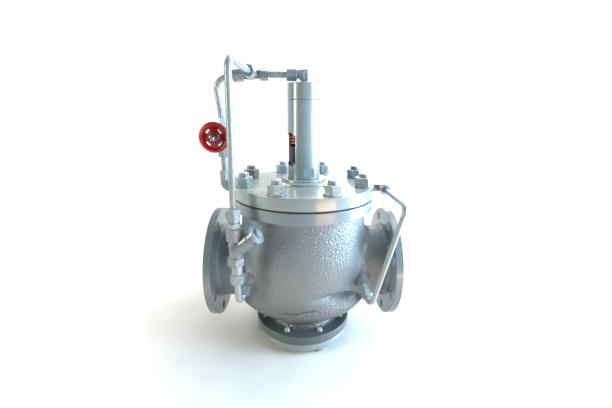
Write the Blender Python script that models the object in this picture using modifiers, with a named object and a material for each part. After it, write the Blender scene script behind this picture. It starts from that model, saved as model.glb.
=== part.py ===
"""Pressure reducing valve, flanged, with spring column, pilot pipework and a needle valve.

Units are metres. The pieces are placed in the frame of the flow axis, which runs along X through
the centres of the two side flanges. An empty lifts that frame so that the heads of the bottom
cover's bolts stand on z = 0. Inlet on -X, outlet on +X, spring column upwards, pipework in front (-Y).
"""
import math

import bmesh
import bpy
from mathutils import Matrix, Quaternion, Vector

# ---------------------------------------------------------------- driving dimensions
GAP = 0.0003                 # between pieces that touch
SOCKET_GAP = 0.0005          # round a tube in its nut
FLOW_Z = 0.1745              # height of the flow axis over the floor

FLANGE_R = 0.1175            # side flange, nominal size 125
FLANGE_FACE_X = 0.193
FLANGE_T = 0.0149
RAISED_FACE_R = 0.0895
RAISED_FACE_T = 0.002
BORE_R = 0.0625
FLANGE_HOLE_R = 0.0095
FLANGE_PITCH_R = 0.100
NECK_R = 0.078

TOP_FLANGE_R = 0.146
TOP_FLANGE_Z = 0.1535        # its upper face
TOP_FLANGE_LOW_Z = 0.1315
BONNET_R = 0.1467
BONNET_LOW_Z = 0.1567
BONNET_TOP_Z = 0.1804
PAD_R = 0.061
PAD_TOP_Z = 0.1853
INNER_PAD_R = 0.0475
INNER_PAD_TOP_Z = 0.190
CHAMBER_R = 0.097            # diaphragm chamber

STUD_PITCH_R = 0.1275
STUD_R = 0.010
STUD_HOLE_R = 0.0115
STUD_LOW_Z = 0.134
STUD_TOP_Z = 0.2085
NUT_FLATS = 0.030
NUT_TOP_Z = 0.1995
WASHER_R = 0.0175
WASHER_T = 0.003

BOTTOM_FLANGE_R = 0.108
BOTTOM_FLANGE_TOP_Z = -0.1274
BOTTOM_FLANGE_LOW_Z = -0.146
BOTTOM_OPENING_R = 0.062
COVER_TOP_Z = -0.1473
COVER_LOW_Z = -0.1618
COVER_PITCH_R = 0.091
COVER_BOLT_R = 0.006
COVER_HOLE_R = 0.0070
COVER_BOLT_FLATS = 0.018
COVER_BOLT_TIP_Z = -0.1225

COLUMN_R = 0.0332
COLUMN_BORE_R = 0.0285
COLUMN_TOP_Z = 0.3446
CAP_TOP_Z = 0.3757
WINDOW_LOW_Z = 0.217
WINDOW_TOP_Z = 0.282
WINDOW_WIDTH = 0.042
COLUMN_TURN = math.radians(19.0)     # the column's flats are turned from the -Y side towards +X
FLAT_Z = 0.2035              # middle of the two wrench flats
FLAT_HEIGHT = 0.0155
FLAT_DEPTH = 0.0014

LIFT = 0.020                 # travel of the stem
STEM_R = 0.008
SEAT_BORE_R = 0.050
SPRING_R = 0.0235            # to the centre of the wire
SPRING_WIRE_R = 0.00225
SPRING_LOW_Z = 0.2553
SPRING_TOP_Z = 0.3377
SPRING_TURNS = 12.5

PILOT_R = 0.006              # riser, supply and cross tubes
SENSE_R = 0.005              # needle valve and sensing tubes
PIPE_Z = 0.3915              # top pipe run
TEE_X = -0.1005
STRING_X = -0.1250           # strainer and its fittings
STRING_Y = -0.126
NEEDLE_X = -0.1670
NEEDLE_Z = 0.2745
PORT_Z = 0.1685              # ports in the bonnet's rim
SENSE_X = 0.1690
SENSE_Y = -0.139
WHEEL_R = 0.0284
WHEEL_Y = -0.060

SMOOTH_ANGLE = math.radians(38.0)
DOWN = Vector((0.0, 0.0, -1.0))
UP = Vector((0.0, 0.0, 1.0))
LEFT = Vector((-1.0, 0.0, 0.0))
RIGHT = Vector((1.0, 0.0, 0.0))
FRONT = Vector((0.0, -1.0, 0.0))

SUPPLY_CORNER = Vector((STRING_X, STRING_Y, -0.0400))
SUPPLY_BOSS = Vector((-0.1143, -0.0936, -0.0117))
SUPPLY_WAY = (SUPPLY_CORNER - SUPPLY_BOSS).normalized()
SENSE_CORNER = Vector((0.1250, SENSE_Y, -0.0390))
SENSE_BOSS = Vector((0.1211, -0.0931, -0.0134))
SENSE_WAY = (SENSE_CORNER - SENSE_BOSS).normalized()
RISER_CORNER = Vector((-0.1200, STRING_Y, 0.4025))
TEE_CENTRE = Vector((TEE_X, 0.0, PIPE_Z))
BRANCH_WAY = (RISER_CORNER - TEE_CENTRE).normalized()


# ---------------------------------------------------------------- scene, collections, materials
def clear_scene():
    for obj in list(bpy.data.objects):
        bpy.data.objects.remove(obj, do_unlink=True)


def new_collection(name):
    collection = bpy.data.collections.new(name)
    bpy.context.scene.collection.children.link(collection)
    return collection


clear_scene()
PARTS = new_collection("pressure_reducing_valve")
CUTTERS = new_collection("cutters")
FLOW_AXIS = bpy.data.objects.new("flow_axis", None)
PARTS.objects.link(FLOW_AXIS)
FLOW_AXIS.location = (0.0, 0.0, FLOW_Z)


def material(name, colour, roughness, metallic):
    mat = bpy.data.materials.new(name)
    mat.use_nodes = True
    shader = mat.node_tree.nodes["Principled BSDF"]
    shader.inputs["Base Color"].default_value = (*colour, 1.0)
    shader.inputs["Roughness"].default_value = roughness
    shader.inputs["Metallic"].default_value = metallic
    return mat


CAST_PAINT = material("cast_paint", (0.40, 0.45, 0.45), 0.45, 0.0)
PIPE_PAINT = material("pipe_paint", (0.42, 0.47, 0.47), 0.40, 0.0)
BOLT_PAINT = material("bolt_paint", (0.36, 0.41, 0.41), 0.40, 0.0)
RED_PAINT = material("red_paint", (0.55, 0.01, 0.02), 0.30, 0.0)
RUBBER = material("rubber", (0.02, 0.02, 0.02), 0.70, 0.0)
SPRING_STEEL = material("spring_steel", (0.45, 0.14, 0.06), 0.45, 0.3)
DARK_STEEL = material("dark_steel", (0.05, 0.04, 0.06), 0.50, 0.6)
BRASS = material("brass", (0.60, 0.45, 0.20), 0.30, 1.0)
STAINLESS = material("stainless", (0.55, 0.52, 0.50), 0.25, 1.0)


# ---------------------------------------------------------------- helpers
def register(obj, collection, mat):
    """Put an object in its collection, under the flow axis, with its material."""
    for owner in list(obj.users_collection):
        owner.objects.unlink(obj)
    collection.objects.link(obj)
    obj.parent = FLOW_AXIS
    if mat is not None:
        obj.data.materials.clear()
        obj.data.materials.append(mat)
    if collection is CUTTERS:
        obj.hide_render = True
        obj.display_type = "WIRE"
    return obj


def mesh_object(name, bm, mat, collection=None):
    mesh = bpy.data.meshes.new(name)
    bm.normal_update()
    bm.to_mesh(mesh)
    bm.free()
    mesh.shade_smooth()
    mesh.set_sharp_from_angle(angle=SMOOTH_ANGLE)
    obj = bpy.data.objects.new(name, mesh)
    return register(obj, collection or PARTS, mat)


def aim(obj, start, way):
    """Stand the object's own +Z along a direction, with its origin at start."""
    obj.location = start
    obj.rotation_mode = "QUATERNION"
    obj.rotation_quaternion = Vector(way).to_track_quat("Z", "Y")
    return obj


def rod(name, start, way, radius, length, mat=None, segments=24, top_radius=None, collection=None):
    """Cylinder, cone or prism that starts at a point and runs along a direction."""
    bm = bmesh.new()
    end = radius if top_radius is None else top_radius
    lift = Matrix.Translation((0.0, 0.0, length / 2))
    bmesh.ops.create_cone(bm, cap_ends=True, segments=segments, radius1=radius, radius2=end,
                          depth=length, matrix=lift)
    return aim(mesh_object(name, bm, mat, collection), start, way)


def hexagon(name, start, way, flats, length, mat=None, collection=None):
    """Hexagonal prism given by its width across flats."""
    return rod(name, start, way, flats / 2 / math.cos(math.pi / 6), length, mat, 6, None, collection)


def square_bar(name, start, way, side, length, mat=None, collection=None):
    """Bar of square section with two of its faces upright."""
    bar = rod(name, start, way, side / 2 * math.sqrt(2.0), length, mat, 4, None, collection)
    bar.rotation_quaternion = Quaternion(way, math.pi / 4) @ bar.rotation_quaternion
    return bar


def turned(name, profile, mat, segments=32, ring=False, collection=None):
    """Solid turned about Z from (radius, height) points that run down the outer side."""
    bm = bmesh.new()
    verts = [bm.verts.new((radius, 0.0, height)) for radius, height in profile]
    pairs = list(zip(verts, verts[1:]))
    if ring:
        pairs.append((verts[-1], verts[0]))
    for pair in pairs:
        bm.edges.new(pair)
    obj = mesh_object(name, bm, mat, collection)
    screw = obj.modifiers.new("turn", "SCREW")
    screw.axis = "Z"
    screw.steps = segments
    screw.render_steps = segments
    screw.use_merge_vertices = True
    screw.merge_threshold = 0.00001
    screw.use_smooth_shade = True
    return obj


def block(name, centre, way, size, corner_radius):
    """Cutter box: its width lies across, its height upright and its depth along the way."""
    bm = bmesh.new()
    bmesh.ops.create_cube(bm, size=1.0, matrix=Matrix.Diagonal((*size, 1.0)))
    if corner_radius > 0.0:
        deep = [edge for edge in bm.edges if abs(edge.verts[0].co.z - edge.verts[1].co.z) > 0.001]
        bmesh.ops.bevel(bm, geom=deep, offset=corner_radius, segments=3, affect="EDGES")
    tool = mesh_object(name, bm, None, CUTTERS)
    axes = Matrix((UP.cross(way), UP, way)).transposed().to_4x4()
    tool.matrix_local = Matrix.Translation(centre) @ axes
    return tool


def combine(target, tool, operation):
    boolean = target.modifiers.new(operation.lower(), "BOOLEAN")
    boolean.operation = operation
    boolean.solver = "EXACT"
    boolean.object = tool
    return target


def cut(target, *tools):
    for tool in tools:
        combine(target, tool, "DIFFERENCE")
    return target


def join(target, *tools):
    for tool in tools:
        combine(target, tool, "UNION")
    return target


def cut_rod(target, start, way, radius, length, segments=16):
    tool = rod("hole", start, way, radius, length, None, segments, None, CUTTERS)
    return cut(target, tool)


def join_rod(target, start, way, radius, length, segments=24, top_radius=None):
    tool = rod("stub", start, way, radius, length, None, segments, top_radius, CUTTERS)
    return join(target, tool)


def join_hexagon(target, start, way, flats, length, turn=0.0):
    tool = hexagon("hex", start, way, flats, length, None, CUTTERS)
    tool.rotation_quaternion = Quaternion(way, turn) @ tool.rotation_quaternion
    return join(target, tool)


def ring_of_points(count, radius, height):
    """Evenly spaced points on a circle about Z, none of them on an axis."""
    for index in range(count):
        angle = 2 * math.pi * (index + 0.5) / count
        yield Vector((radius * math.cos(angle), radius * math.sin(angle), height))


def rounded_path(corners, bend_radius, steps=6):
    """Centre line through corner points, each inner corner rounded by an arc."""
    points = [corners[0]]
    for before, corner, after in zip(corners, corners[1:], corners[2:]):
        inward = (before - corner).normalized()
        outward = (after - corner).normalized()
        half = inward.angle(outward) / 2
        centre = corner + (inward + outward).normalized() * bend_radius / math.sin(half)
        middle = (corner - centre).normalized()
        along = (outward - inward).normalized()
        sweep = math.pi / 2 - half
        for step in range(steps + 1):
            angle = sweep * (2.0 * step / steps - 1.0)
            points.append(centre + (middle * math.cos(angle) + along * math.sin(angle)) * bend_radius)
    points.append(corners[-1])
    return points


def tube(name, points, radius, mat, resolution=2):
    """Pipe along a centre line, as a curve with a round section and closed ends."""
    curve = bpy.data.curves.new(name, "CURVE")
    curve.dimensions = "3D"
    curve.bevel_depth = radius
    curve.bevel_resolution = resolution
    curve.use_fill_caps = True
    curve.twist_mode = "MINIMUM"
    spline = curve.splines.new("POLY")
    spline.points.add(len(points) - 1)
    for slot, point in zip(spline.points, points):
        slot.co = (*point, 1.0)
    spline.use_smooth = True
    return register(bpy.data.objects.new(name, curve), PARTS, mat)


def mesh_from_curve(source, name, mat, collection):
    """Closed mesh that takes the place of a curve which is to be joined or cut."""
    bpy.context.view_layer.update()
    graph = bpy.context.evaluated_depsgraph_get()
    mesh = bpy.data.meshes.new_from_object(source.evaluated_get(graph))
    mesh.name = name
    bm = bmesh.new()
    bm.from_mesh(mesh)
    bmesh.ops.remove_doubles(bm, verts=bm.verts, dist=0.00001)
    bmesh.ops.recalc_face_normals(bm, faces=bm.faces)
    bm.to_mesh(mesh)
    bm.free()
    obj = register(bpy.data.objects.new(name, mesh), collection, mat)
    obj.matrix_local = source.matrix_local
    old_curve = source.data
    bpy.data.objects.remove(source, do_unlink=True)
    bpy.data.curves.remove(old_curve)
    return obj


def tube_mesh(name, points, radius, mat, resolution=2):
    """The same pipe as a closed mesh, for pieces that are joined or cut."""
    return mesh_from_curve(tube(name + "_line", points, radius, mat, resolution), name, mat, PARTS)


def loft(name, sections, mat, segments, shape, collection=None):
    """Closed shell through rings; shape(angle, section) gives each ring point."""
    bm = bmesh.new()
    rings = []
    for section in sections:
        angles = [2 * math.pi * step / segments for step in range(segments)]
        rings.append([bm.verts.new(shape(angle, section)) for angle in angles])
    for upper, lower in zip(rings, rings[1:]):
        for step in range(segments):
            after = (step + 1) % segments
            bm.faces.new((upper[step], lower[step], lower[after], upper[after]))
    bm.faces.new(rings[0])
    bm.faces.new(list(reversed(rings[-1])))
    return mesh_object(name, bm, mat, collection)


# ---------------------------------------------------------------- body casting
GLOBE_HALF_X = 0.147
GLOBE_HALF_Y = 0.124
BOWL_START_Z = -0.0665
BOWL_DEPTH = 0.061
BOWL_POWER = 1.5
VALLEY_DEPTH = 0.017
VALLEY_HALF_WIDTH = 0.013


def bowl_scale(height):
    """How far the globe has closed in at a height in its lower bowl: 1 at the rim."""
    depth = min(max((BOWL_START_Z - height) / BOWL_DEPTH, 0.0), 1.0)
    return (1.0 - depth ** BOWL_POWER) ** (1.0 / BOWL_POWER)


def shoulder_inset(height):
    """The globe draws in a little under the top flange."""
    rise = min(max((height - 0.020) / 0.085, 0.0), 1.0)
    return rise * rise * (3.0 - 2.0 * rise)


def valley(angle, height):
    """Groove round the outlet side, between the outlet lobe and the lower lobe."""
    around = abs(math.degrees(math.atan2(math.sin(angle), math.cos(angle))))
    fade = min(max((88.0 - around) / 34.0, 0.0), 1.0)
    centre = -0.045 + 0.015 * min(around / 75.0, 1.0)
    return VALLEY_DEPTH * fade * math.exp(-((height - centre) / VALLEY_HALF_WIDTH) ** 2)


def globe_point(angle, height):
    scale = bowl_scale(height)
    inset = shoulder_inset(height)
    half_x = (GLOBE_HALF_X - 0.013 * inset) * scale
    half_y = (GLOBE_HALF_Y - 0.013 * inset) * scale ** 0.7
    groove = 1.0 - valley(angle, height) / GLOBE_HALF_X
    across = half_x * groove * math.cos(angle)
    return (across, half_y * groove * math.sin(angle), height)


GLOBE_HEIGHTS = (0.140, 0.105, 0.078, 0.052, 0.024, -0.010, -0.024, -0.034, -0.044, -0.058, -0.070,
                 -0.081, -0.091, -0.099, -0.106, -0.112)


def chamber(name, centre_x, half_x, half_y, heights):
    """Oval hollow of the casting, its lower ring drawn in when a third value says so."""
    def shape(angle, section):
        height, scale = section
        return (centre_x + half_x * scale * math.cos(angle), half_y * scale * math.sin(angle), height)
    return loft(name, heights, None, 24, shape, CUTTERS)


def side_neck(side):
    """Neck and flange along the flow axis, turned about it."""
    inner_x = FLANGE_FACE_X - FLANGE_T
    profile = [(0.0, FLANGE_FACE_X + RAISED_FACE_T), (RAISED_FACE_R, FLANGE_FACE_X + RAISED_FACE_T),
               (RAISED_FACE_R + RAISED_FACE_T / 2, FLANGE_FACE_X),
               (FLANGE_R - 0.0012, FLANGE_FACE_X), (FLANGE_R, FLANGE_FACE_X - 0.0012),
               (FLANGE_R, inner_x), (NECK_R + 0.006, inner_x), (NECK_R, inner_x - 0.008),
               (NECK_R + 0.001, 0.150), (NECK_R + 0.004, 0.138), (NECK_R + 0.009, 0.126),
               (NECK_R + 0.009, 0.100), (0.0, 0.100)]
    neck = turned("neck", profile, None, 32, False, CUTTERS)
    neck.rotation_euler = (0.0, side * math.pi / 2, 0.0)
    return neck


def make_body():
    body = loft("body_casting", GLOBE_HEIGHTS, CAST_PAINT, 40, globe_point)
    top_flange = turned("top_flange", [(0.0, TOP_FLANGE_Z), (TOP_FLANGE_R - 0.001, TOP_FLANGE_Z),
                                       (TOP_FLANGE_R, TOP_FLANGE_Z - 0.001),
                                       (TOP_FLANGE_R, TOP_FLANGE_LOW_Z + 0.001),
                                       (TOP_FLANGE_R - 0.001, TOP_FLANGE_LOW_Z),
                                       (0.0, TOP_FLANGE_LOW_Z)], None, 48, False, CUTTERS)
    bottom_flange = turned("bottom_flange", [(0.0, -0.108), (0.076, -0.108), (0.077, -0.120),
                                             (0.084, BOTTOM_FLANGE_TOP_Z),
                                             (BOTTOM_FLANGE_R - 0.0015, BOTTOM_FLANGE_TOP_Z),
                                             (BOTTOM_FLANGE_R, BOTTOM_FLANGE_TOP_Z - 0.0015),
                                             (BOTTOM_FLANGE_R, BOTTOM_FLANGE_LOW_Z),
                                             (0.0, BOTTOM_FLANGE_LOW_Z)], None, 40, False, CUTTERS)
    join(body, top_flange, bottom_flange, side_neck(1), side_neck(-1))
    join_rod(body, SUPPLY_BOSS - SUPPLY_WAY * 0.038, SUPPLY_WAY, 0.0165, 0.038, 20, 0.0138)
    join_rod(body, SENSE_BOSS - SENSE_WAY * 0.038, SENSE_WAY, 0.0165, 0.038, 20, 0.0138)
    flow_arrow = make_flow_arrow()
    join(body, flow_arrow)
    upper = chamber("outlet_chamber", 0.014, 0.112, 0.106,
                    ((0.128, 0.90), (0.105, 1.0), (0.030, 1.0), (0.008, 0.86)))
    lower = chamber("inlet_chamber", -0.014, 0.112, 0.104,
                    ((-0.010, 0.86), (-0.025, 1.0), (-0.062, 1.0), (-0.080, 0.85), (-0.098, 0.58)))
    cut(body, upper, lower)
    cut_rod(body, (0.0, 0.0, 0.120), UP, CHAMBER_R, 0.060, 40)
    cut_rod(body, (0.0, 0.0, -0.170), UP, BOTTOM_OPENING_R, 0.080, 24)
    cut_rod(body, (0.0, 0.0, -0.020), UP, SEAT_BORE_R + 0.008, 0.040, 24)
    cut_rod(body, (-0.112, 0.0, 0.0), LEFT, BORE_R, 0.100, 32)
    cut_rod(body, (0.112, 0.0, 0.0), RIGHT, BORE_R, 0.100, 32)
    cut_rod(body, SUPPLY_BOSS + SUPPLY_WAY * 0.004, -SUPPLY_WAY, 0.005, 0.060, 10)
    cut_rod(body, SENSE_BOSS + SENSE_WAY * 0.004, -SENSE_WAY, 0.005, 0.050, 10)
    for point in ring_of_points(8, FLANGE_PITCH_R, 0.0):
        cut_rod(body, (-0.220, point.x, point.y), RIGHT, FLANGE_HOLE_R, 0.060, 10)
        cut_rod(body, (0.220, point.x, point.y), LEFT, FLANGE_HOLE_R, 0.060, 10)
    for point in ring_of_points(8, STUD_PITCH_R, TOP_FLANGE_LOW_Z + 0.001):
        cut_rod(body, point, UP, STUD_HOLE_R, 0.040, 8)
    for point in ring_of_points(8, COVER_PITCH_R, -0.160):
        cut_rod(body, point, UP, COVER_HOLE_R, 0.040, 8)
    return body


def swollen_globe_point(angle, height):
    """The globe grown by the height of the raised arrow."""
    x, y, z = globe_point(angle, height)
    return (x * 1.016, y * 1.016, z * 1.013)


def make_flow_arrow():
    """Raised arrow on the front of the lower lobe, pointing from inlet to outlet."""
    outline = ((-0.042, -0.0022), (-0.008, -0.0022), (0.002, 0.0042), (0.018, 0.0042), (0.018, 0.0008),
               (0.031, 0.0072), (0.018, 0.0136), (0.018, 0.0102), (-0.001, 0.0102), (-0.011, 0.0038),
               (-0.042, 0.0038))
    curve = bpy.data.curves.new("flow_arrow", "CURVE")
    curve.dimensions = "2D"
    curve.fill_mode = "BOTH"
    curve.extrude = 0.015
    spline = curve.splines.new("POLY")
    spline.points.add(len(outline) - 1)
    for slot, (across, up) in zip(spline.points, outline):
        slot.co = (across, up, 0.0, 1.0)
    spline.use_cyclic_u = True
    source = register(bpy.data.objects.new("flow_arrow_line", curve), CUTTERS, None)
    arrow = mesh_from_curve(source, "flow_arrow", None, CUTTERS)
    arrow.location = (0.0, -0.121, -0.0670)
    arrow.rotation_euler = (math.radians(112.0), 0.0, 0.0)
    skin = loft("arrow_skin", GLOBE_HEIGHTS, None, 40, swollen_globe_point, CUTTERS)
    return combine(arrow, skin, "INTERSECT")


# ---------------------------------------------------------------- covers, diaphragm, column
def make_bonnet():
    bonnet = turned("bonnet", [
        (STEM_R + GAP, INNER_PAD_TOP_Z), (INNER_PAD_R, INNER_PAD_TOP_Z), (INNER_PAD_R, PAD_TOP_Z),
        (PAD_R, PAD_TOP_Z), (PAD_R, BONNET_TOP_Z), (BONNET_R - 0.0015, BONNET_TOP_Z),
        (BONNET_R, BONNET_TOP_Z - 0.0015), (BONNET_R, BONNET_LOW_Z), (CHAMBER_R, BONNET_LOW_Z),
        (CHAMBER_R - 0.004, 0.172),
        (0.024, 0.172), (0.022, 0.160), (STEM_R + GAP, 0.160)], CAST_PAINT, 40, True)
    for point in ring_of_points(8, STUD_PITCH_R, 0.150):
        cut_rod(bonnet, point, UP, STUD_HOLE_R, 0.040, 8)
    for way in (LEFT, RIGHT):
        cut_rod(bonnet, way * 0.085 + Vector((0.0, 0.0, PORT_Z)), way, 0.0035, 0.070, 8)
    return bonnet


def make_diaphragm():
    rim_top = BONNET_LOW_Z - GAP
    rim_low = TOP_FLANGE_Z + GAP
    sheet = rim_top - rim_low
    centre_top = 0.1264
    diaphragm = turned("diaphragm", [
        (STEM_R + GAP, centre_top), (0.076, centre_top), (0.090, rim_top - 0.004), (0.095, rim_top),
        (0.145, rim_top), (0.145, rim_low), (0.0965, rim_low), (0.0925, rim_low - 0.004),
        (0.078, centre_top - sheet), (STEM_R + GAP, centre_top - sheet)], RUBBER, 32, True)
    for point in ring_of_points(8, STUD_PITCH_R, 0.150):
        cut_rod(diaphragm, point, UP, STUD_HOLE_R, 0.010, 8)
    return diaphragm


def make_bottom_cover():
    cover = turned("bottom_cover", [
        (STEM_R + GAP, -0.095), (0.017, -0.095), (0.019, -0.100), (0.021, COVER_TOP_Z),
        (BOTTOM_FLANGE_R, COVER_TOP_Z), (BOTTOM_FLANGE_R, COVER_LOW_Z + 0.0025),
        (BOTTOM_FLANGE_R - 0.0025, COVER_LOW_Z), (0.0, COVER_LOW_Z), (0.0, -0.152),
        (STEM_R + GAP, -0.152)], CAST_PAINT, 40, True)
    for point in ring_of_points(8, COVER_PITCH_R, -0.170):
        cut_rod(cover, point, UP, COVER_HOLE_R, 0.040, 8)
    gasket = turned("bottom_gasket", [
        (BOTTOM_OPENING_R + 0.002, BOTTOM_FLANGE_LOW_Z - GAP),
        (BOTTOM_FLANGE_R - 0.0015, BOTTOM_FLANGE_LOW_Z - GAP),
        (BOTTOM_FLANGE_R - 0.0015, COVER_TOP_Z + GAP),
        (BOTTOM_OPENING_R + 0.002, COVER_TOP_Z + GAP)], RUBBER, 40, True)
    for point in ring_of_points(8, COVER_PITCH_R, -0.160):
        cut_rod(gasket, point, UP, COVER_HOLE_R, 0.040, 8)


def make_column():
    low_z = INNER_PAD_TOP_Z + GAP
    column = turned("spring_column", [
        (COLUMN_BORE_R, COLUMN_TOP_Z), (COLUMN_R, COLUMN_TOP_Z), (COLUMN_R, low_z + 0.001),
        (COLUMN_R - 0.001, low_z), (COLUMN_BORE_R, low_z)], CAST_PAINT, 36, True)
    window_way = Vector((-math.cos(COLUMN_TURN), -math.sin(COLUMN_TURN), 0.0))
    window_z = (WINDOW_LOW_Z + WINDOW_TOP_Z) / 2
    size = (WINDOW_WIDTH, WINDOW_TOP_Z - WINDOW_LOW_Z, 0.030)
    cut(column, block("window", window_way * (COLUMN_R + 0.002) + UP * window_z, window_way, size, 0.004))
    flat_way = Vector((math.sin(COLUMN_TURN), -math.cos(COLUMN_TURN), 0.0))
    for way in (flat_way, -flat_way):
        middle = way * (COLUMN_R - FLAT_DEPTH + 0.005) + UP * FLAT_Z
        cut(column, block("wrench_flat", middle, way, (0.030, FLAT_HEIGHT, 0.010), 0.0))
    return column


def make_column_cap():
    cap = turned("column_cap", [
        (0.0, CAP_TOP_Z), (COLUMN_R - 0.001, CAP_TOP_Z), (COLUMN_R, CAP_TOP_Z - 0.001),
        (COLUMN_R, COLUMN_TOP_Z + GAP), (COLUMN_BORE_R - GAP, COLUMN_TOP_Z + GAP),
        (COLUMN_BORE_R - GAP, SPRING_TOP_Z + GAP), (0.0, SPRING_TOP_Z + GAP)], CAST_PAINT, 36)
    cut_rod(cap, (0.0, 0.0, SPRING_TOP_Z - 0.005), UP, 0.004, 0.060, 10)
    return cap


def make_spring():
    low = SPRING_LOW_Z + SPRING_WIRE_R
    high = SPRING_TOP_Z - SPRING_WIRE_R
    per_turn = 9
    count = int(SPRING_TURNS * per_turn)
    points = []
    for step in range(count + 1):
        angle = 2 * math.pi * step / per_turn
        height = low + (high - low) * step / count
        points.append((SPRING_R * math.cos(angle), SPRING_R * math.sin(angle), height))
    return tube("main_spring", points, SPRING_WIRE_R, SPRING_STEEL, 1)


# ---------------------------------------------------------------- stem, plug and seat
def make_stem_parts():
    turned("main_stem", [(0.0, 0.236), (STEM_R - 0.001, 0.236), (STEM_R, 0.235), (STEM_R, -0.139),
                         (STEM_R - 0.001, -0.140), (0.0, -0.140)], STAINLESS, 16)
    turned("lower_spring_seat", [
        (0.0, SPRING_LOW_Z - GAP), (0.0275, SPRING_LOW_Z - GAP), (0.0275, 0.215), (0.0265, 0.214),
        (STEM_R + GAP, 0.214), (STEM_R + GAP, 0.2363), (0.0, 0.2363)], DARK_STEEL, 28)
    seat_low = -0.0145
    seal_top = seat_low - SOCKET_GAP - LIFT
    seal_low = seal_top - 0.0062
    turned("main_plug", [
        (STEM_R + GAP, seal_top - 0.0015), (0.041, seal_top - 0.0015), (0.041, seal_low - GAP),
        (0.056, seal_low - GAP), (0.056, -0.050),
        (0.050, -0.055), (0.020, -0.060), (0.018, -0.074), (STEM_R + GAP, -0.074)], STAINLESS, 24, True)
    turned("plug_seal", [
        (0.0413, seal_top), (0.0555, seal_top), (0.0555, seal_low), (0.0413, seal_low)], RUBBER, 24, True)
    seat_top = 0.007
    turned("seat_ring", [
        (SEAT_BORE_R - 0.003, seat_top), (SEAT_BORE_R + 0.0071, seat_top),
        (SEAT_BORE_R + 0.0071, -0.0103), (SEAT_BORE_R + 0.010, -0.0103), (SEAT_BORE_R + 0.010, -0.0135),
        (SEAT_BORE_R, seat_low), (SEAT_BORE_R - 0.003, -0.0135)], BRASS, 28, True)
    turned("upper_diaphragm_plate", [
        (STEM_R + GAP, 0.138), (0.018, 0.138), (0.020, 0.1317), (0.070, 0.1317), (0.072, 0.1297),
        (0.072, 0.1267), (STEM_R + GAP, 0.1267)], DARK_STEEL, 24, True)
    turned("lower_diaphragm_plate", [
        (STEM_R + GAP, 0.1235), (0.072, 0.1235), (0.072, 0.1205), (0.070, 0.1185), (0.022, 0.1185),
        (0.020, 0.108), (STEM_R + GAP, 0.108)], DARK_STEEL, 24, True)


# ---------------------------------------------------------------- fasteners
NUT_TURNS = (24.3, 45.4, 27.9, 28.9, 28.4, 50.2, 55.3, 20.5)     # degrees, as the nuts were left


def make_bonnet_studs():
    low_washer = BONNET_TOP_Z + GAP
    low_nut = low_washer + WASHER_T
    for number, point in enumerate(ring_of_points(8, STUD_PITCH_R, 0.0), 1):
        stud = rod(f"bonnet_stud_{number}", point + UP * STUD_LOW_Z, UP, STUD_R,
                   STUD_TOP_Z - 0.002 - STUD_LOW_Z, BOLT_PAINT, 12)
        join_rod(stud, point + UP * (STUD_TOP_Z - 0.003), UP, STUD_R - 0.0002, 0.003, 12, 0.006)
        join_rod(stud, point + UP * low_washer, UP, WASHER_R, WASHER_T + 0.001, 12)
        turn = math.radians(NUT_TURNS[number - 1] - 30.0)
        join_hexagon(stud, point + UP * low_nut, UP, NUT_FLATS, NUT_TOP_Z - low_nut, turn)


def make_cover_bolts():
    head_top = COVER_LOW_Z - GAP
    for number, point in enumerate(ring_of_points(8, COVER_PITCH_R, 0.0), 1):
        bolt = rod(f"cover_bolt_{number}", point + UP * (head_top - 0.002), UP, COVER_BOLT_R,
                   COVER_BOLT_TIP_Z - head_top + 0.002, BOLT_PAINT, 10)
        join_hexagon(bolt, point + UP * -FLOW_Z, UP, COVER_BOLT_FLATS, FLOW_Z + head_top)


# ---------------------------------------------------------------- pipework
def socket_nut(name, start, way, flats, length, socket_radius, socket_depth, mat=PIPE_PAINT):
    """Union nut: its far end holds the tube in a socket."""
    way = Vector(way)
    nut = hexagon(name, start, way, flats, length, mat)
    cut_rod(nut, Vector(start) + way * (length - socket_depth), way, socket_radius + SOCKET_GAP,
            socket_depth + 0.005, 12)
    return nut


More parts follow.
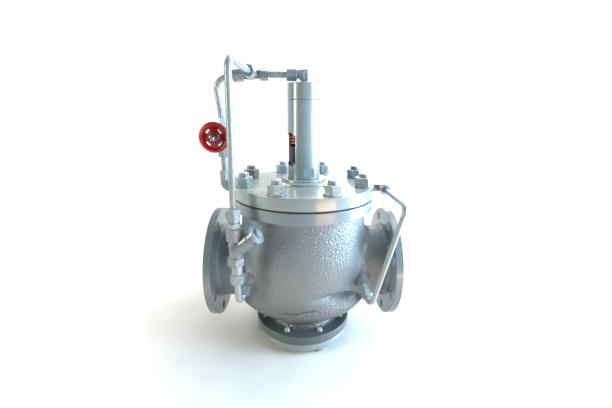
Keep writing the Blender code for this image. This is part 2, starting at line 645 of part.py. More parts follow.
def make_top_run():
    elbow_low = CAP_TOP_Z + GAP
    elbow = square_bar("top_elbow", (0.0, 0.0, elbow_low + 0.0030), UP, 0.0140,
                       PIPE_Z + 0.0092 - elbow_low - 0.0030, PIPE_PAINT)
    join(elbow, square_bar("arm", (0.0, 0.0, PIPE_Z), LEFT, 0.0160, 0.0140, None, CUTTERS))
    web_way = Vector((-0.662, 0.0, 0.750)).normalized()
    join(elbow, square_bar("web", (-0.0020, 0.0, elbow_low + 0.0070), web_way, 0.0120, 0.0113, None, CUTTERS))
    join_rod(elbow, (0.0, 0.0, elbow_low), UP, 0.0066, 0.0040, 20)
    socket_nut("top_elbow_nut", (-0.0143, 0.0, PIPE_Z), LEFT, 0.021, 0.0200, PILOT_R, 0.012)
    tube("cross_tube", [(-0.0225, 0.0, PIPE_Z), (-0.0790, 0.0, PIPE_Z)], PILOT_R, PIPE_PAINT)
    left_way = Vector((-0.994, 0.0, -0.110)).normalized()
    tee = rod("tee_fitting", TEE_CENTRE + RIGHT * 0.0140, LEFT, 0.0088, 0.0210, PIPE_PAINT, 16)
    join_rod(tee, TEE_CENTRE, left_way, 0.0087, 0.0155, 16)
    join_rod(tee, TEE_CENTRE, BRANCH_WAY, 0.0086, 0.0150, 16)
    socket_nut("tee_right_nut", TEE_CENTRE + RIGHT * 0.0143, RIGHT, 0.0200, 0.0165, PILOT_R, 0.0095)
    socket_nut("tee_front_nut", TEE_CENTRE + BRANCH_WAY * 0.0153, BRANCH_WAY, 0.0215, 0.0150,
               PILOT_R, 0.010)
    socket_nut("tee_left_nut", TEE_CENTRE + left_way * 0.0158, left_way, 0.0210, 0.0225, SENSE_R, 0.012)
    riser_start = TEE_CENTRE + BRANCH_WAY * 0.0225
    riser_knee = Vector((STRING_X, STRING_Y, 0.170))
    riser_end = Vector((STRING_X, STRING_Y, 0.146))
    tube("pilot_riser", rounded_path([riser_start, RISER_CORNER, riser_knee, riser_end], 0.020), PILOT_R,
         PIPE_PAINT, 3)
    feed_start = TEE_CENTRE + left_way * 0.0285
    feed_corner = Vector((NEEDLE_X - 0.0080, 0.0, 0.3835))
    feed_knee = Vector((NEEDLE_X, 0.0, 0.320))
    feed_end = Vector((NEEDLE_X, 0.0, 0.301))
    tube("needle_feed_tube", rounded_path([feed_start, feed_corner, feed_knee, feed_end], 0.024), SENSE_R,
         PIPE_PAINT)


def make_strainer_string():
    foot = Vector((STRING_X, STRING_Y, 0.0))
    socket_nut("riser_nut", foot + UP * 0.1350, UP, 0.0240, 0.0220, PILOT_R, 0.013)
    nipple = hexagon("upper_nipple", foot + UP * 0.1216, UP, 0.0215, 0.0100, PIPE_PAINT)
    join_rod(nipple, foot + UP * 0.1310, UP, 0.0085, 0.0037, 16)
    branch_way = Vector((0.77, -0.14, 0.62)).normalized()
    branch_root = foot + UP * 0.0790
    strainer = rod("strainer_body", foot + UP * 0.0600, UP, 0.0120, 0.0420, PIPE_PAINT, 20)
    join_hexagon(strainer, foot + UP * 0.0985, UP, 0.0290, 0.0228)
    join_hexagon(strainer, foot + UP * 0.0500, UP, 0.0285, 0.0155)
    join_rod(strainer, branch_root, branch_way, 0.0138, 0.0470, 20)
    cap = rod("strainer_cap", branch_root + branch_way * 0.0473, branch_way, 0.0168, 0.0065, PIPE_PAINT, 20)
    join_hexagon(cap, branch_root + branch_way * 0.0530, branch_way, 0.0160, 0.0065)
    lower = rod("lower_nipple", foot + UP * 0.0310, UP, 0.0095, 0.0080, PIPE_PAINT, 16)
    join_hexagon(lower, foot + UP * 0.0370, UP, 0.0190, 0.0127)
    socket_nut("supply_nut", foot + UP * 0.0307, DOWN, 0.0235, 0.0190, PILOT_R, 0.011)
    port_end = SUPPLY_BOSS + SUPPLY_WAY * 0.0140
    tube("supply_tube", rounded_path([foot + UP * 0.0195, SUPPLY_CORNER, port_end], 0.010), PILOT_R,
         PIPE_PAINT, 3)
    socket_nut("supply_port_nut", SUPPLY_BOSS + SUPPLY_WAY * GAP, SUPPLY_WAY, 0.0185, 0.0205, PILOT_R, 0.010)


def make_sensing_line():
    centre = Vector((SENSE_X, 0.0, PORT_Z))
    line = rounded_path([Vector((BONNET_R + GAP, 0.0, PORT_Z)), centre, centre + FRONT * 0.0150], 0.009)
    elbow = tube_mesh("sensing_elbow", line, 0.0080, PIPE_PAINT)
    join_hexagon(elbow, centre + FRONT * 0.0140, FRONT, 0.0195, 0.0160)
    cut_rod(elbow, centre + FRONT * 0.0200, FRONT, SENSE_R + GAP, 0.0200, 12)
    start = centre + FRONT * 0.0205
    knee = centre + FRONT * 0.0350
    turn = Vector((SENSE_X + 0.0065, SENSE_Y, PORT_Z - 0.0050))
    end = SENSE_BOSS + SENSE_WAY * 0.0180
    line = rounded_path([start, knee, turn, SENSE_CORNER, end], 0.015)
    tube("sensing_tube", line, SENSE_R, PIPE_PAINT)
    socket_nut("sensing_port_nut", SENSE_BOSS + SENSE_WAY * GAP, SENSE_WAY, 0.0185, 0.0280, SENSE_R, 0.012)


def make_needle_valve():
    foot = Vector((NEEDLE_X, 0.0, 0.0))
    centre = Vector((NEEDLE_X, 0.0, NEEDLE_Z))
    corner = Vector((NEEDLE_X, 0.0, PORT_Z))
    line = rounded_path([Vector((-BONNET_R - GAP, 0.0, PORT_Z)), corner, corner + UP * 0.0150], 0.009)
    elbow = tube_mesh("needle_outlet_elbow", line, 0.0085, PIPE_PAINT)
    join_hexagon(elbow, foot + UP * 0.1830, UP, 0.0175, 0.0200)
    cut_rod(elbow, foot + UP * 0.1930, UP, SENSE_R + GAP, 0.0200, 12)
    tube("needle_outlet_tube", [foot + UP * 0.1935, foot + UP * 0.2385], SENSE_R, PIPE_PAINT)
    valve = rod("needle_valve_body", foot + UP * 0.2450, UP, 0.0090, 0.0600, PIPE_PAINT, 16)
    join_rod(valve, centre + DOWN * 0.0140, UP, 0.0120, 0.0280, 20)
    join_rod(valve, centre, FRONT, 0.0090, 0.0260, 16)
    join_hexagon(valve, foot + UP * 0.2320, UP, 0.0190, 0.0160)
    join_hexagon(valve, foot + UP * 0.2970, UP, 0.0190, 0.0130)
    cut_rod(valve, foot + UP * 0.2390, DOWN, SENSE_R + GAP, 0.0200, 12)
    cut_rod(valve, foot + UP * 0.3005, UP, SENSE_R + GAP, 0.0200, 12)
    cut_rod(valve, centre + FRONT * 0.0020, FRONT, 0.0050, 0.0300, 12)
    gland = hexagon("needle_gland", centre + FRONT * 0.0263, FRONT, 0.0170, 0.0130, PIPE_PAINT)
    cut_rod(gland, centre + FRONT * 0.0200, FRONT, 0.0030 + GAP, 0.0400, 12)
    tip = rod("needle_tip", centre + FRONT * 0.0170, -FRONT, 0.0030, 0.0040, STAINLESS, 12)
    join_rod(tip, centre + FRONT * 0.0135, -FRONT, 0.0029, 0.0080, 12, 0.0006)
    rod("needle_spindle", centre + FRONT * 0.0173, FRONT, 0.0030, 0.0547, STAINLESS, 12)
    make_handwheel(centre)


def make_handwheel(centre):
    """Dished wheel on the spindle; its own +Z points to the front, out of the valve."""
    hub = centre + Vector((0.0, WHEEL_Y, 0.0))
    wheel = turned("handwheel", [
        (0.0033, 0.0055), (0.0105, 0.0055), (0.0112, 0.0010), (0.0205, 0.0000), (0.0218, 0.0036),
        (0.0245, 0.0048), (0.0275, 0.0024), (WHEEL_R, -0.0010), (0.0268, -0.0044), (0.0225, -0.0044),
        (0.0205, -0.0025), (0.0110, -0.0020), (0.0085, -0.0120), (0.0033, -0.0120)], RED_PAINT, 24, True)
    aim(wheel, hub, FRONT)
    for index in range(4):
        angle = math.radians(45.0 + 90.0 * index)
        for spread in (-1, 0, 1):
            turn = angle + spread * math.radians(14.0)
            spot = hub + Vector((math.cos(turn), 0.0, math.sin(turn))) * 0.0160 - FRONT * 0.010
            cut_rod(wheel, spot, FRONT, 0.0021, 0.030, 8)
    nut = hexagon("handwheel_nut", hub + FRONT * 0.0058, FRONT, 0.0110, 0.0050, STAINLESS)
    cut_rod(nut, hub - FRONT * 0.0100, FRONT, 0.0033, 0.0400, 12)


def build_valve():
    make_body()
    make_bonnet()
    make_diaphragm()
    make_bottom_cover()
    make_column()
    make_column_cap()
    make_spring()
    make_stem_parts()
    make_bonnet_studs()
    make_cover_bolts()
    make_top_run()
    make_strainer_string()
    make_sensing_line()
    make_needle_valve()


build_valve()
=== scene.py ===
"""Looks of the flanged pressure reducing valve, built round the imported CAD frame.

Lengths are metres. Sizes are given in the frame of the flow axis, which runs along X through the
side flanges, as in the CAD source; flow() lifts them to the row frame. Every piece stands for CAD
nodes.
"""
import math

import bmesh
import bpy
import numpy as np
from mathutils import Matrix, Vector, noise


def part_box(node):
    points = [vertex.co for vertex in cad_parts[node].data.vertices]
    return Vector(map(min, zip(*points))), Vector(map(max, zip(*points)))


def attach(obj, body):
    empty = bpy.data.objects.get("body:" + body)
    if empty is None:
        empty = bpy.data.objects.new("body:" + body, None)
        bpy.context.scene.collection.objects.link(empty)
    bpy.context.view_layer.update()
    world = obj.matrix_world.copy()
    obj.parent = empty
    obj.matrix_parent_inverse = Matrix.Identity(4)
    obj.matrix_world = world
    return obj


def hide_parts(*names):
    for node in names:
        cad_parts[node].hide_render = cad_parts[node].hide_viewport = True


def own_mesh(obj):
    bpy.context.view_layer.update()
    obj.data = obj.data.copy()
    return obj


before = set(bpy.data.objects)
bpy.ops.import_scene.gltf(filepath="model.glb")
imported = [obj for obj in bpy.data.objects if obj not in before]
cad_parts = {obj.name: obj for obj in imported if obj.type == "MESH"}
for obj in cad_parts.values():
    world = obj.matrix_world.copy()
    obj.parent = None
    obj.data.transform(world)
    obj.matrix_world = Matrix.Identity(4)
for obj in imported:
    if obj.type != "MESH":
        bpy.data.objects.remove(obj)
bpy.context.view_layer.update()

# ---------------------------------------------------------------- sizes shared with the CAD source
BODY_LOW_Z = -0.146          # lower face of the body casting, from the flow axis
FLOW_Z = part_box("body_casting")[0].z - BODY_LOW_Z
GAP = 0.0003
FLANGE_R = 0.1175
FLANGE_FACE_X = 0.193
FLANGE_T = 0.0149
RAISED_FACE_R = 0.0895
RAISED_FACE_T = 0.002
BORE_R = 0.0625
HOLE_R = 0.0095
PITCH_R = 0.100
NECK_R = 0.078
TOP_FLANGE_R = 0.146
TOP_FLANGE_Z = 0.1535
TOP_FLANGE_LOW_Z = 0.1315
BONNET_R = 0.1467
BONNET_LOW_Z = 0.1567
BONNET_TOP_Z = 0.1804
PAD_R = 0.061
PAD_TOP_Z = 0.1853
INNER_PAD_R = 0.0475
INNER_PAD_TOP_Z = 0.190
CHAMBER_R = 0.097
STUD_PITCH_R = 0.1275
STUD_HOLE_R = 0.0115
BOTTOM_FLANGE_R = 0.108
BOTTOM_FLANGE_TOP_Z = -0.1274
COVER_TOP_Z = -0.1473
COVER_LOW_Z = -0.1618
COVER_PITCH_R = 0.091
COVER_HOLE_R = 0.007
BOTTOM_OPENING_R = 0.062
COLUMN_R = 0.0332
COLUMN_BORE_R = 0.0285
COLUMN_TOP_Z = 0.3446
CAP_TOP_Z = 0.3757
COLUMN_TURN = math.radians(19.0)
STEM_R = 0.008
STEM_HOLE_R = STEM_R + GAP
SEAT_BORE_R = 0.050
PILOT_R = 0.006
SENSE_R = 0.005
PIPE_Z = 0.3915
TEE_X = -0.1005
STRING_X = -0.1250
STRING_Y = -0.126
NEEDLE_X = -0.1670
NEEDLE_Z = 0.2745
PORT_Z = 0.1685
SENSE_X = 0.1690
SENSE_Y = -0.139
WHEEL_R = 0.0284
WHEEL_Y = -0.060

UP = Vector((0.0, 0.0, 1.0))
LEFT = Vector((-1.0, 0.0, 0.0))
RIGHT = Vector((1.0, 0.0, 0.0))
FRONT = Vector((0.0, -1.0, 0.0))

SUPPLY_CORNER = Vector((STRING_X, STRING_Y, -0.0400))
SUPPLY_BOSS = Vector((-0.1143, -0.0936, -0.0117))
SUPPLY_WAY = (SUPPLY_CORNER - SUPPLY_BOSS).normalized()
SENSE_CORNER = Vector((0.1250, SENSE_Y, -0.0390))
SENSE_BOSS = Vector((0.1211, -0.0931, -0.0134))
SENSE_WAY = (SENSE_CORNER - SENSE_BOSS).normalized()
RISER_CORNER = Vector((-0.1200, STRING_Y, 0.4025))
TEE_CENTRE = Vector((TEE_X, 0.0, PIPE_Z))
BRANCH_WAY = (RISER_CORNER - TEE_CENTRE).normalized()
TEE_LEFT_WAY = Vector((-0.994, 0.0, -0.110)).normalized()


# ---------------------------------------------------------------- camera
CAMERA_PLACE = (-0.01118, -0.63243, 0.30926)     # from the flow axis
CAMERA_LENS = 17.717                             # mm, on a sensor 36 mm wide
CAMERA_TURNS = (15.79, 1.51, 0.54)               # degrees of pitch, yaw and roll


def make_camera():
    """The photograph's viewpoint: a wide lens a little over the object, looking down at it."""
    data = bpy.data.cameras.new("camera")
    data.sensor_width = 36.0
    data.lens = CAMERA_LENS
    data.clip_start = 0.01
    camera = bpy.data.objects.new("camera", data)
    bpy.context.scene.collection.objects.link(camera)
    pitch, yaw, roll = (math.radians(angle) for angle in CAMERA_TURNS)
    level_right = Vector((math.cos(yaw), -math.sin(yaw), 0.0))
    ahead = Vector((math.sin(yaw), math.cos(yaw), 0.0))
    forward = ahead * math.cos(pitch) - UP * math.sin(pitch)
    above = ahead * math.sin(pitch) + UP * math.cos(pitch)
    right = level_right * math.cos(roll) + above * math.sin(roll)
    above = above * math.cos(roll) - level_right * math.sin(roll)
    axes = Matrix((right, above, -forward)).transposed().to_4x4()
    camera.matrix_world = Matrix.Translation(flow(CAMERA_PLACE)) @ axes
    bpy.context.scene.camera = camera


# ---------------------------------------------------------------- material nodes
class Shader:
    """A node material with short calls for the nodes that the finishes share."""

    def __init__(self, name):
        self.material = bpy.data.materials.new(name)
        self.material.use_nodes = True
        self.tree = self.material.node_tree
        self.bsdf = self.tree.nodes["Principled BSDF"]
        self.place = self.add("ShaderNodeTexCoord").outputs["Object"]

    def add(self, kind, **settings):
        node = self.tree.nodes.new(kind)
        for key, value in settings.items():
            setattr(node, key, value)
        return node

    def feed(self, socket, value):
        if isinstance(value, bpy.types.NodeSocket):
            self.tree.links.new(value, socket)
        else:
            socket.default_value = value

    def noise(self, scale, detail=3.0, roughness=0.5, distortion=0.0, stretch=None):
        node = self.add("ShaderNodeTexNoise")
        place = self.place
        if stretch is not None:
            mapping = self.add("ShaderNodeMapping")
            self.feed(mapping.inputs["Vector"], place)
            mapping.inputs["Scale"].default_value = stretch
            place = mapping.outputs["Vector"]
        self.feed(node.inputs["Vector"], place)
        for key, value in (("Scale", scale), ("Detail", detail), ("Roughness", roughness),
                           ("Distortion", distortion)):
            node.inputs[key].default_value = value
        return node.outputs["Fac"]

    def cells(self, scale, smooth=1.0):
        node = self.add("ShaderNodeTexVoronoi", feature="SMOOTH_F1")
        self.feed(node.inputs["Vector"], self.place)
        node.inputs["Scale"].default_value = scale
        node.inputs["Smoothness"].default_value = smooth
        return node.outputs["Distance"]

    def span(self, value, low, high, to_low=0.0, to_high=1.0):
        node = self.add("ShaderNodeMapRange", interpolation_type="SMOOTHSTEP")
        self.feed(node.inputs["Value"], value)
        for key, number in (("From Min", low), ("From Max", high), ("To Min", to_low),
                            ("To Max", to_high)):
            node.inputs[key].default_value = number
        return node.outputs["Result"]

    def math(self, operation, first, second=0.0):
        node = self.add("ShaderNodeMath", operation=operation)
        self.feed(node.inputs[0], first)
        self.feed(node.inputs[1], second)
        return node.outputs["Value"]

    def blend(self, share, first, second, mode="MIX"):
        node = self.add("ShaderNodeMix", data_type="RGBA", blend_type=mode)
        self.feed(node.inputs[0], share)
        self.feed(node.inputs[6], first)
        self.feed(node.inputs[7], second)
        return node.outputs[2]

    def bump(self, height, distance, strength=1.0, normal=None):
        node = self.add("ShaderNodeBump")
        self.feed(node.inputs["Height"], height)
        self.feed(node.inputs["Strength"], strength)
        node.inputs["Distance"].default_value = distance
        if normal is not None:
            self.feed(node.inputs["Normal"], normal)
        return node.outputs["Normal"]

    def axis(self, name):
        node = self.add("ShaderNodeSeparateXYZ")
        self.feed(node.inputs[0], self.place)
        return node.outputs[name]

    def edges(self, low, high):
        """1 on worn convex edges, 0 elsewhere."""
        return self.span(self.add("ShaderNodeNewGeometry").outputs["Pointiness"], low, high)

    def finish(self, colour, roughness, normal=None, metallic=0.0, coat=0.0, coat_roughness=0.1,
               specular=0.5):
        self.feed(self.bsdf.inputs["Base Color"], colour)
        self.feed(self.bsdf.inputs["Roughness"], roughness)
        self.bsdf.inputs["Metallic"].default_value = metallic
        self.bsdf.inputs["Coat Weight"].default_value = coat
        self.bsdf.inputs["Coat Roughness"].default_value = coat_roughness
        self.bsdf.inputs["Specular IOR Level"].default_value = specular
        if normal is not None:
            self.feed(self.bsdf.inputs["Normal"], normal)
            self.feed(self.bsdf.inputs["Coat Normal"], normal)
        return self.material


def rgb(red, green, blue):
    return (red, green, blue, 1.0)


def grey_of(shader, value):
    tone = shader.add("ShaderNodeCombineColor")
    for channel in ("Red", "Green", "Blue"):
        shader.feed(tone.inputs[channel], value)
    return tone.outputs["Color"]


def paint_colour(shader, base, cool, grime, spot_scale=60.0):
    """Paint that drifts between two tones, with faint mottling and a little grime."""
    drift = shader.span(shader.noise(7.0, 2.0, 0.5, 0.3), 0.35, 0.65)
    colour = shader.blend(drift, base, cool)
    mottle = shader.span(shader.noise(spot_scale, 3.0, 0.55), 0.25, 0.75, 0.965, 1.03)
    colour = shader.blend(1.0, colour, grey_of(shader, mottle), "MULTIPLY")
    dirt = shader.span(shader.noise(26.0, 6.0, 0.7, 0.8), 0.62, 0.84, 0.0, 0.14)
    return shader.blend(dirt, colour, grime)


def cast_paint(name):
    """Glossy grey paint over a sand casting, smoother on the turned flanges."""
    shader = Shader(name)
    colour = paint_colour(shader, rgb(0.118, 0.158, 0.176), rgb(0.112, 0.156, 0.196),
                          rgb(0.07, 0.082, 0.082))
    across = shader.math("ABSOLUTE", shader.axis("X"))
    side = shader.span(across, 0.1745, 0.1785, 1.0, 0.0)
    height = shader.axis("Z")
    top_z, low_z = FLOW_Z + TOP_FLANGE_LOW_Z, FLOW_Z + BOTTOM_FLANGE_TOP_Z
    top = shader.span(height, top_z - 0.002, top_z, 1.0, 0.0)
    low = shader.span(height, low_z, low_z + 0.002)
    rough_share = shader.math("MULTIPLY", shader.math("MULTIPLY", side, top), low)
    lumps = shader.noise(330.0, 2.0, 0.45, 0.0)
    pits = shader.cells(290.0)
    skin = shader.math("ADD", shader.math("MULTIPLY", lumps, 0.8), shader.math("MULTIPLY", pits, 0.7))
    rough_amount = shader.math("ADD", shader.math("MULTIPLY", rough_share, 0.98), 0.02)
    normal = shader.bump(skin, 0.0017, rough_amount)
    # Painted shade and highlight of the casting skin: darker in the hollows of the bump, a touch lighter
    # on its lumps.
    relief_shade = shader.span(skin, 0.45, 0.80, 0.90, 1.05)
    relief_shaded_colour = shader.blend(1.0, colour, grey_of(shader, relief_shade), "MULTIPLY")
    colour = shader.blend(rough_share, colour, relief_shaded_colour)
    worn = shader.math("MULTIPLY", shader.edges(0.56, 0.62),
                       shader.span(shader.noise(120.0), 0.50, 0.66))
    colour = shader.blend(shader.math("MULTIPLY", worn, 0.35), colour, rgb(0.42, 0.47, 0.47))
    # Painted shade: below the top flange the casting darkens towards the bottom of the globe, standing in
    # for the shade low down.
    shaded = shader.span(height, FLOW_Z - 0.095, FLOW_Z - 0.010, 0.80, 0.0)
    painted_low_shade = shader.math("MULTIPLY", shaded, top)
    colour = shader.blend(painted_low_shade, colour, rgb(0.046, 0.054, 0.055))
    roughness = shader.span(shader.noise(40.0, 3.0, 0.5), 0.3, 0.7, 0.31, 0.36)
    return shader.finish(colour, roughness, normal, coat=0.40, coat_roughness=0.15)


def smooth_paint(name, base, cool, gloss, dust, painted_bore_shade):
    """The same paint over machined steel: slight orange peel, lighter chips on the edges."""
    shader = Shader(name)
    colour = paint_colour(shader, rgb(*base), rgb(*cool), rgb(0.16, 0.18, 0.18), 110.0)
    peel = shader.noise(380.0, 2.0, 0.5)
    drops = shader.span(shader.noise(60.0, 2.0, 0.5), 0.3, 0.7)
    normal = shader.bump(drops, 0.00004, 0.4, shader.bump(peel, 0.00006, 0.4))
    worn = shader.math("MULTIPLY", shader.edges(0.55, 0.62),
                       shader.span(shader.noise(160.0), 0.52, 0.68))
    colour = shader.blend(shader.math("MULTIPLY", worn, 0.45), colour, rgb(0.55, 0.60, 0.60))
    # Painted light: faces turned upward are lightened, by the share given as dust, as if lit from above.
    upward = shader.add("ShaderNodeSeparateXYZ")
    shader.feed(upward.inputs[0], shader.add("ShaderNodeNewGeometry").outputs["Normal"])
    painted_top_light = shader.span(upward.outputs["Z"], 0.80, 0.97, 0.0, dust)
    colour = shader.blend(painted_top_light, colour, rgb(0.50, 0.53, 0.50))
    # Painted shade: inside the column's bore the colour turns near black, standing in for the shade
    # within it.
    if painted_bore_shade:
        squares = [shader.math("POWER", shader.axis(name), 2.0) for name in ("X", "Y")]
        off_axis = shader.math("SQRT", shader.math("ADD", *squares))
        inside = shader.span(off_axis, COLUMN_BORE_R + 0.0006, COLUMN_BORE_R + 0.0012, 1.0, 0.0)
        colour = shader.blend(inside, colour, rgb(0.020, 0.012, 0.012))
    roughness = shader.span(shader.noise(50.0, 4.0, 0.6), 0.3, 0.7, gloss - 0.02, gloss + 0.03)
    return shader.finish(colour, roughness, normal, coat=0.45, coat_roughness=0.08, specular=0.6)


def red_paint():
    shader = Shader("handwheel_red")
    drift = shader.span(shader.noise(26.0, 3.0, 0.5), 0.35, 0.65)
    colour = shader.blend(drift, rgb(0.26, 0.002, 0.006), rgb(0.15, 0.001, 0.006))
    dust = shader.span(shader.noise(240.0, 5.0, 0.7), 0.66, 0.88, 0.0, 0.25)
    colour = shader.blend(dust, colour, rgb(0.12, 0.02, 0.02))
    normal = shader.bump(shader.noise(420.0, 2.0, 0.5), 0.00016, 0.5)
    roughness = shader.span(shader.noise(90.0, 4.0, 0.6), 0.3, 0.7, 0.22, 0.32)
    return shader.finish(colour, roughness, normal, coat=0.25, coat_roughness=0.06, specular=0.4)


def maroon_paint():
    """Dark, dusty paint in the recesses of the wheel."""
    shader = Shader("hub_maroon")
    dust = shader.span(shader.noise(420.0, 5.0, 0.7), 0.45, 0.75)
    colour = shader.blend(dust, rgb(0.030, 0.006, 0.008), rgb(0.10, 0.035, 0.035))
    roughness = shader.span(shader.noise(200.0, 4.0, 0.6), 0.3, 0.7, 0.35, 0.6)
    normal = shader.bump(shader.noise(700.0), 0.0002, 0.5)
    return shader.finish(colour, roughness, normal, coat=0.2, coat_roughness=0.2)


def bare_metal(name, base, dark, rough):
    """Turned or ground metal: fine tool lines round Z, stains and uneven polish."""
    shader = Shader(name)
    stains = shader.span(shader.noise(70.0, 5.0, 0.65, 0.5), 0.45, 0.75, 0.0, 0.3)
    colour = shader.blend(stains, rgb(*base), rgb(*dark))
    grooves = shader.noise(900.0, 2.0, 0.5, 0.0, (1.0, 1.0, 40.0))
    normal = shader.bump(grooves, 0.00012, 0.6)
    roughness = shader.span(shader.noise(120.0, 4.0, 0.6), 0.3, 0.7, rough - 0.07, rough + 0.12)
    return shader.finish(colour, roughness, normal, metallic=1.0)


def rubber_material():
    shader = Shader("black_rubber")
    dust = shader.span(shader.noise(90.0, 5.0, 0.7), 0.5, 0.8, 0.0, 0.4)
    colour = shader.blend(dust, rgb(0.018, 0.018, 0.019), rgb(0.07, 0.068, 0.062))
    weave = shader.math("ADD", shader.noise(800.0, 2.0, 0.5), shader.cells(600.0))
    roughness = shader.span(shader.noise(200.0, 3.0, 0.6), 0.3, 0.7, 0.62, 0.85)
    return shader.finish(colour, roughness, shader.bump(weave, 0.0002, 0.6), specular=0.3)


def spring_material():
    shader = Shader("spring_lacquer")
    rust = shader.span(shader.noise(150.0, 6.0, 0.7, 0.5), 0.45, 0.72)
    colour = shader.blend(rust, rgb(0.46, 0.085, 0.03), rgb(0.16, 0.04, 0.03))
    roughness = shader.span(shader.noise(220.0, 4.0, 0.6), 0.3, 0.7, 0.26, 0.48)
    normal = shader.bump(shader.noise(900.0), 0.0002, 0.5)
    return shader.finish(colour, roughness, normal, metallic=0.35, coat=0.2, coat_roughness=0.2)


PAINTS = {      # material name, two tones, roughness, painted light on upward faces, painted shade in the bore
    "cover": ("machined_cover_paint", (0.165, 0.212, 0.212), (0.160, 0.210, 0.228), 0.24, 0.40, False),
    "pipe": ("pipe_paint_coat", (0.178, 0.222, 0.230), (0.176, 0.224, 0.250), 0.25, 0.30, False),
    "nut": ("union_nut_paint", (0.135, 0.176, 0.178), (0.132, 0.174, 0.198), 0.24, 0.45, False),
    "fitting": ("cast_fitting_paint", (0.108, 0.138, 0.144), (0.104, 0.136, 0.158), 0.26, 0.30, False),
    "column": ("column_paint", (0.165, 0.216, 0.220), (0.160, 0.214, 0.240), 0.24, 0.30, True),
    "bolt": ("bolt_paint_coat", (0.165, 0.212, 0.218), (0.162, 0.214, 0.240), 0.25, 0.75, False),
}
METALS = {      # material name, two tones, roughness
    "dark": ("darkened_steel", (0.045, 0.035, 0.055), (0.02, 0.012, 0.02), 0.38),
    "brass": ("seat_brass", (0.62, 0.44, 0.20), (0.30, 0.20, 0.09), 0.30),
    "steel": ("turned_steel", (0.58, 0.54, 0.54), (0.30, 0.24, 0.24), 0.24),
}
MATERIALS = {"cast": cast_paint("cast_body_paint"), "red": red_paint(), "maroon": maroon_paint(),
             "rubber": rubber_material(), "spring": spring_material()}
MATERIALS.update({look: smooth_paint(*paint) for look, paint in PAINTS.items()})
MATERIALS.update({look: bare_metal(*metal) for look, metal in METALS.items()})


# ---------------------------------------------------------------- mesh helpers
def flow(point):
    """From the flow-axis frame to the row frame."""
    return Vector(point) + UP * FLOW_Z


def mesh_of(name, verts, faces):
    mesh = bpy.data.meshes.new(name)
    mesh.from_pydata([tuple(v) for v in verts], [], [tuple(f) for f in faces])
    mesh.update()
    return mesh


def mesh_from(bm, name):
    """A mesh with the faces of bm, which is used up."""
    mesh = bpy.data.meshes.new(name)
    bm.to_mesh(mesh)
    bm.free()
    return mesh


def stand(mesh, start=(0.0, 0.0, 0.0), way=UP, turn=0.0):
    """Move a mesh made about Z: its origin to start and its +Z along a direction, in the row frame.

    Before that it is turned about its own axis, by an angle in degrees.
    """
    rotation = Vector(way).to_track_quat("Z", "Y").to_matrix().to_4x4()
    own_turn = Matrix.Rotation(math.radians(turn), 4, "Z")
    mesh.transform(Matrix.Translation(flow(start)) @ rotation @ own_turn)
    return mesh


def placed(mesh, name="helper"):
    obj = bpy.data.objects.new(name, mesh)
    bpy.context.scene.collection.objects.link(obj)
    return obj


def combined(base, tools, operation):
    """A mesh after boolean steps with other meshes, which are used up."""
    target = placed(base)
    helpers = [placed(tool) for tool in tools]
    for helper in helpers:
        boolean = target.modifiers.new("boolean", "BOOLEAN")
        boolean.operation = operation
        boolean.solver = "MANIFOLD"
        boolean.object = helper
    bpy.context.view_layer.update()
    graph = bpy.context.evaluated_depsgraph_get()
    result = bpy.data.meshes.new_from_object(target.evaluated_get(graph))
    for obj in helpers + [target]:
        old = obj.data
        bpy.data.objects.remove(obj, do_unlink=True)
        bpy.data.meshes.remove(old)
    return result


def joined(base, *tools):
    return combined(base, tools, "UNION")


def cut(base, *tools):
    return combined(base, tools, "DIFFERENCE")


def piece(name, mesh, look, *nodes, body="valve", sharp=35.0):
    """A shown piece: smooth shading with true edges, its finish, its body and its CAD nodes."""
    mesh.name = name
    mesh.materials.clear()
    mesh.materials.append(MATERIALS[look])
    mesh.shade_smooth()
    mesh.set_sharp_from_angle(angle=math.radians(sharp))
    obj = placed(mesh, name)
    normals = obj.modifiers.new("face_weighted_normals", "WEIGHTED_NORMAL")
    normals.keep_sharp = True
    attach(obj, body)
    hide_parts(*nodes)
    return obj


def softened(profile, radius, ring=False, steps=3):
    """The profile with each corner rounded, as far as its neighbours leave room."""
    count = len(profile)
    points = []
    for index, corner in enumerate(profile):
        if not ring and index in (0, count - 1):
            points.append(corner)
            continue
        here = Vector(corner)
        back = Vector(profile[index - 1]) - here
        ahead = Vector(profile[(index + 1) % count]) - here
        reach = min(radius, back.length * 0.45, ahead.length * 0.45)
        start = here + back.normalized() * reach
        end = here + ahead.normalized() * reach
        for step in range(steps + 1):
            share = step / steps
            on_start = start.lerp(here, share)
            on_end = here.lerp(end, share)
            points.append(tuple(on_start.lerp(on_end, share)))
    return points


def around(radius, height, segments):
    """Points of a circle about Z; a radius of 0 gives the one point on the axis."""
    if radius < 1e-7:
        return [(0.0, 0.0, height)]
    return [(radius * math.cos(angle), radius * math.sin(angle), height)
            for angle in angles_of(segments)]


def angles_of(segments):
    return [2 * math.pi * step / segments for step in range(segments)]


def lofted(rings, closed=False):
    """Solid through rings of points, a ring of one point being a pole."""
    segments = max(len(ring) for ring in rings)
    verts, loops = [], []
    for ring in rings:
        first = len(verts)
        loops.append([first] * segments if len(ring) == 1 else list(range(first, first + segments)))
        verts += ring
    pairs = list(zip(loops, loops[1:]))
    if closed:
        pairs.append((loops[-1], loops[0]))
    faces = []
    for upper, lower in pairs:
        for step in range(segments):
            after = (step + 1) % segments
            face = [upper[step], lower[step], lower[after], upper[after]]
            face = [v for i, v in enumerate(face) if v != face[i - 1]]
            if len(set(face)) >= 3:
                faces.append(face)
    mesh = mesh_of("solid", verts, faces)
    bm = bmesh.new()
    bm.from_mesh(mesh)
    bmesh.ops.recalc_face_normals(bm, faces=bm.faces)
    bm.to_mesh(mesh)
    bm.free()
    return mesh


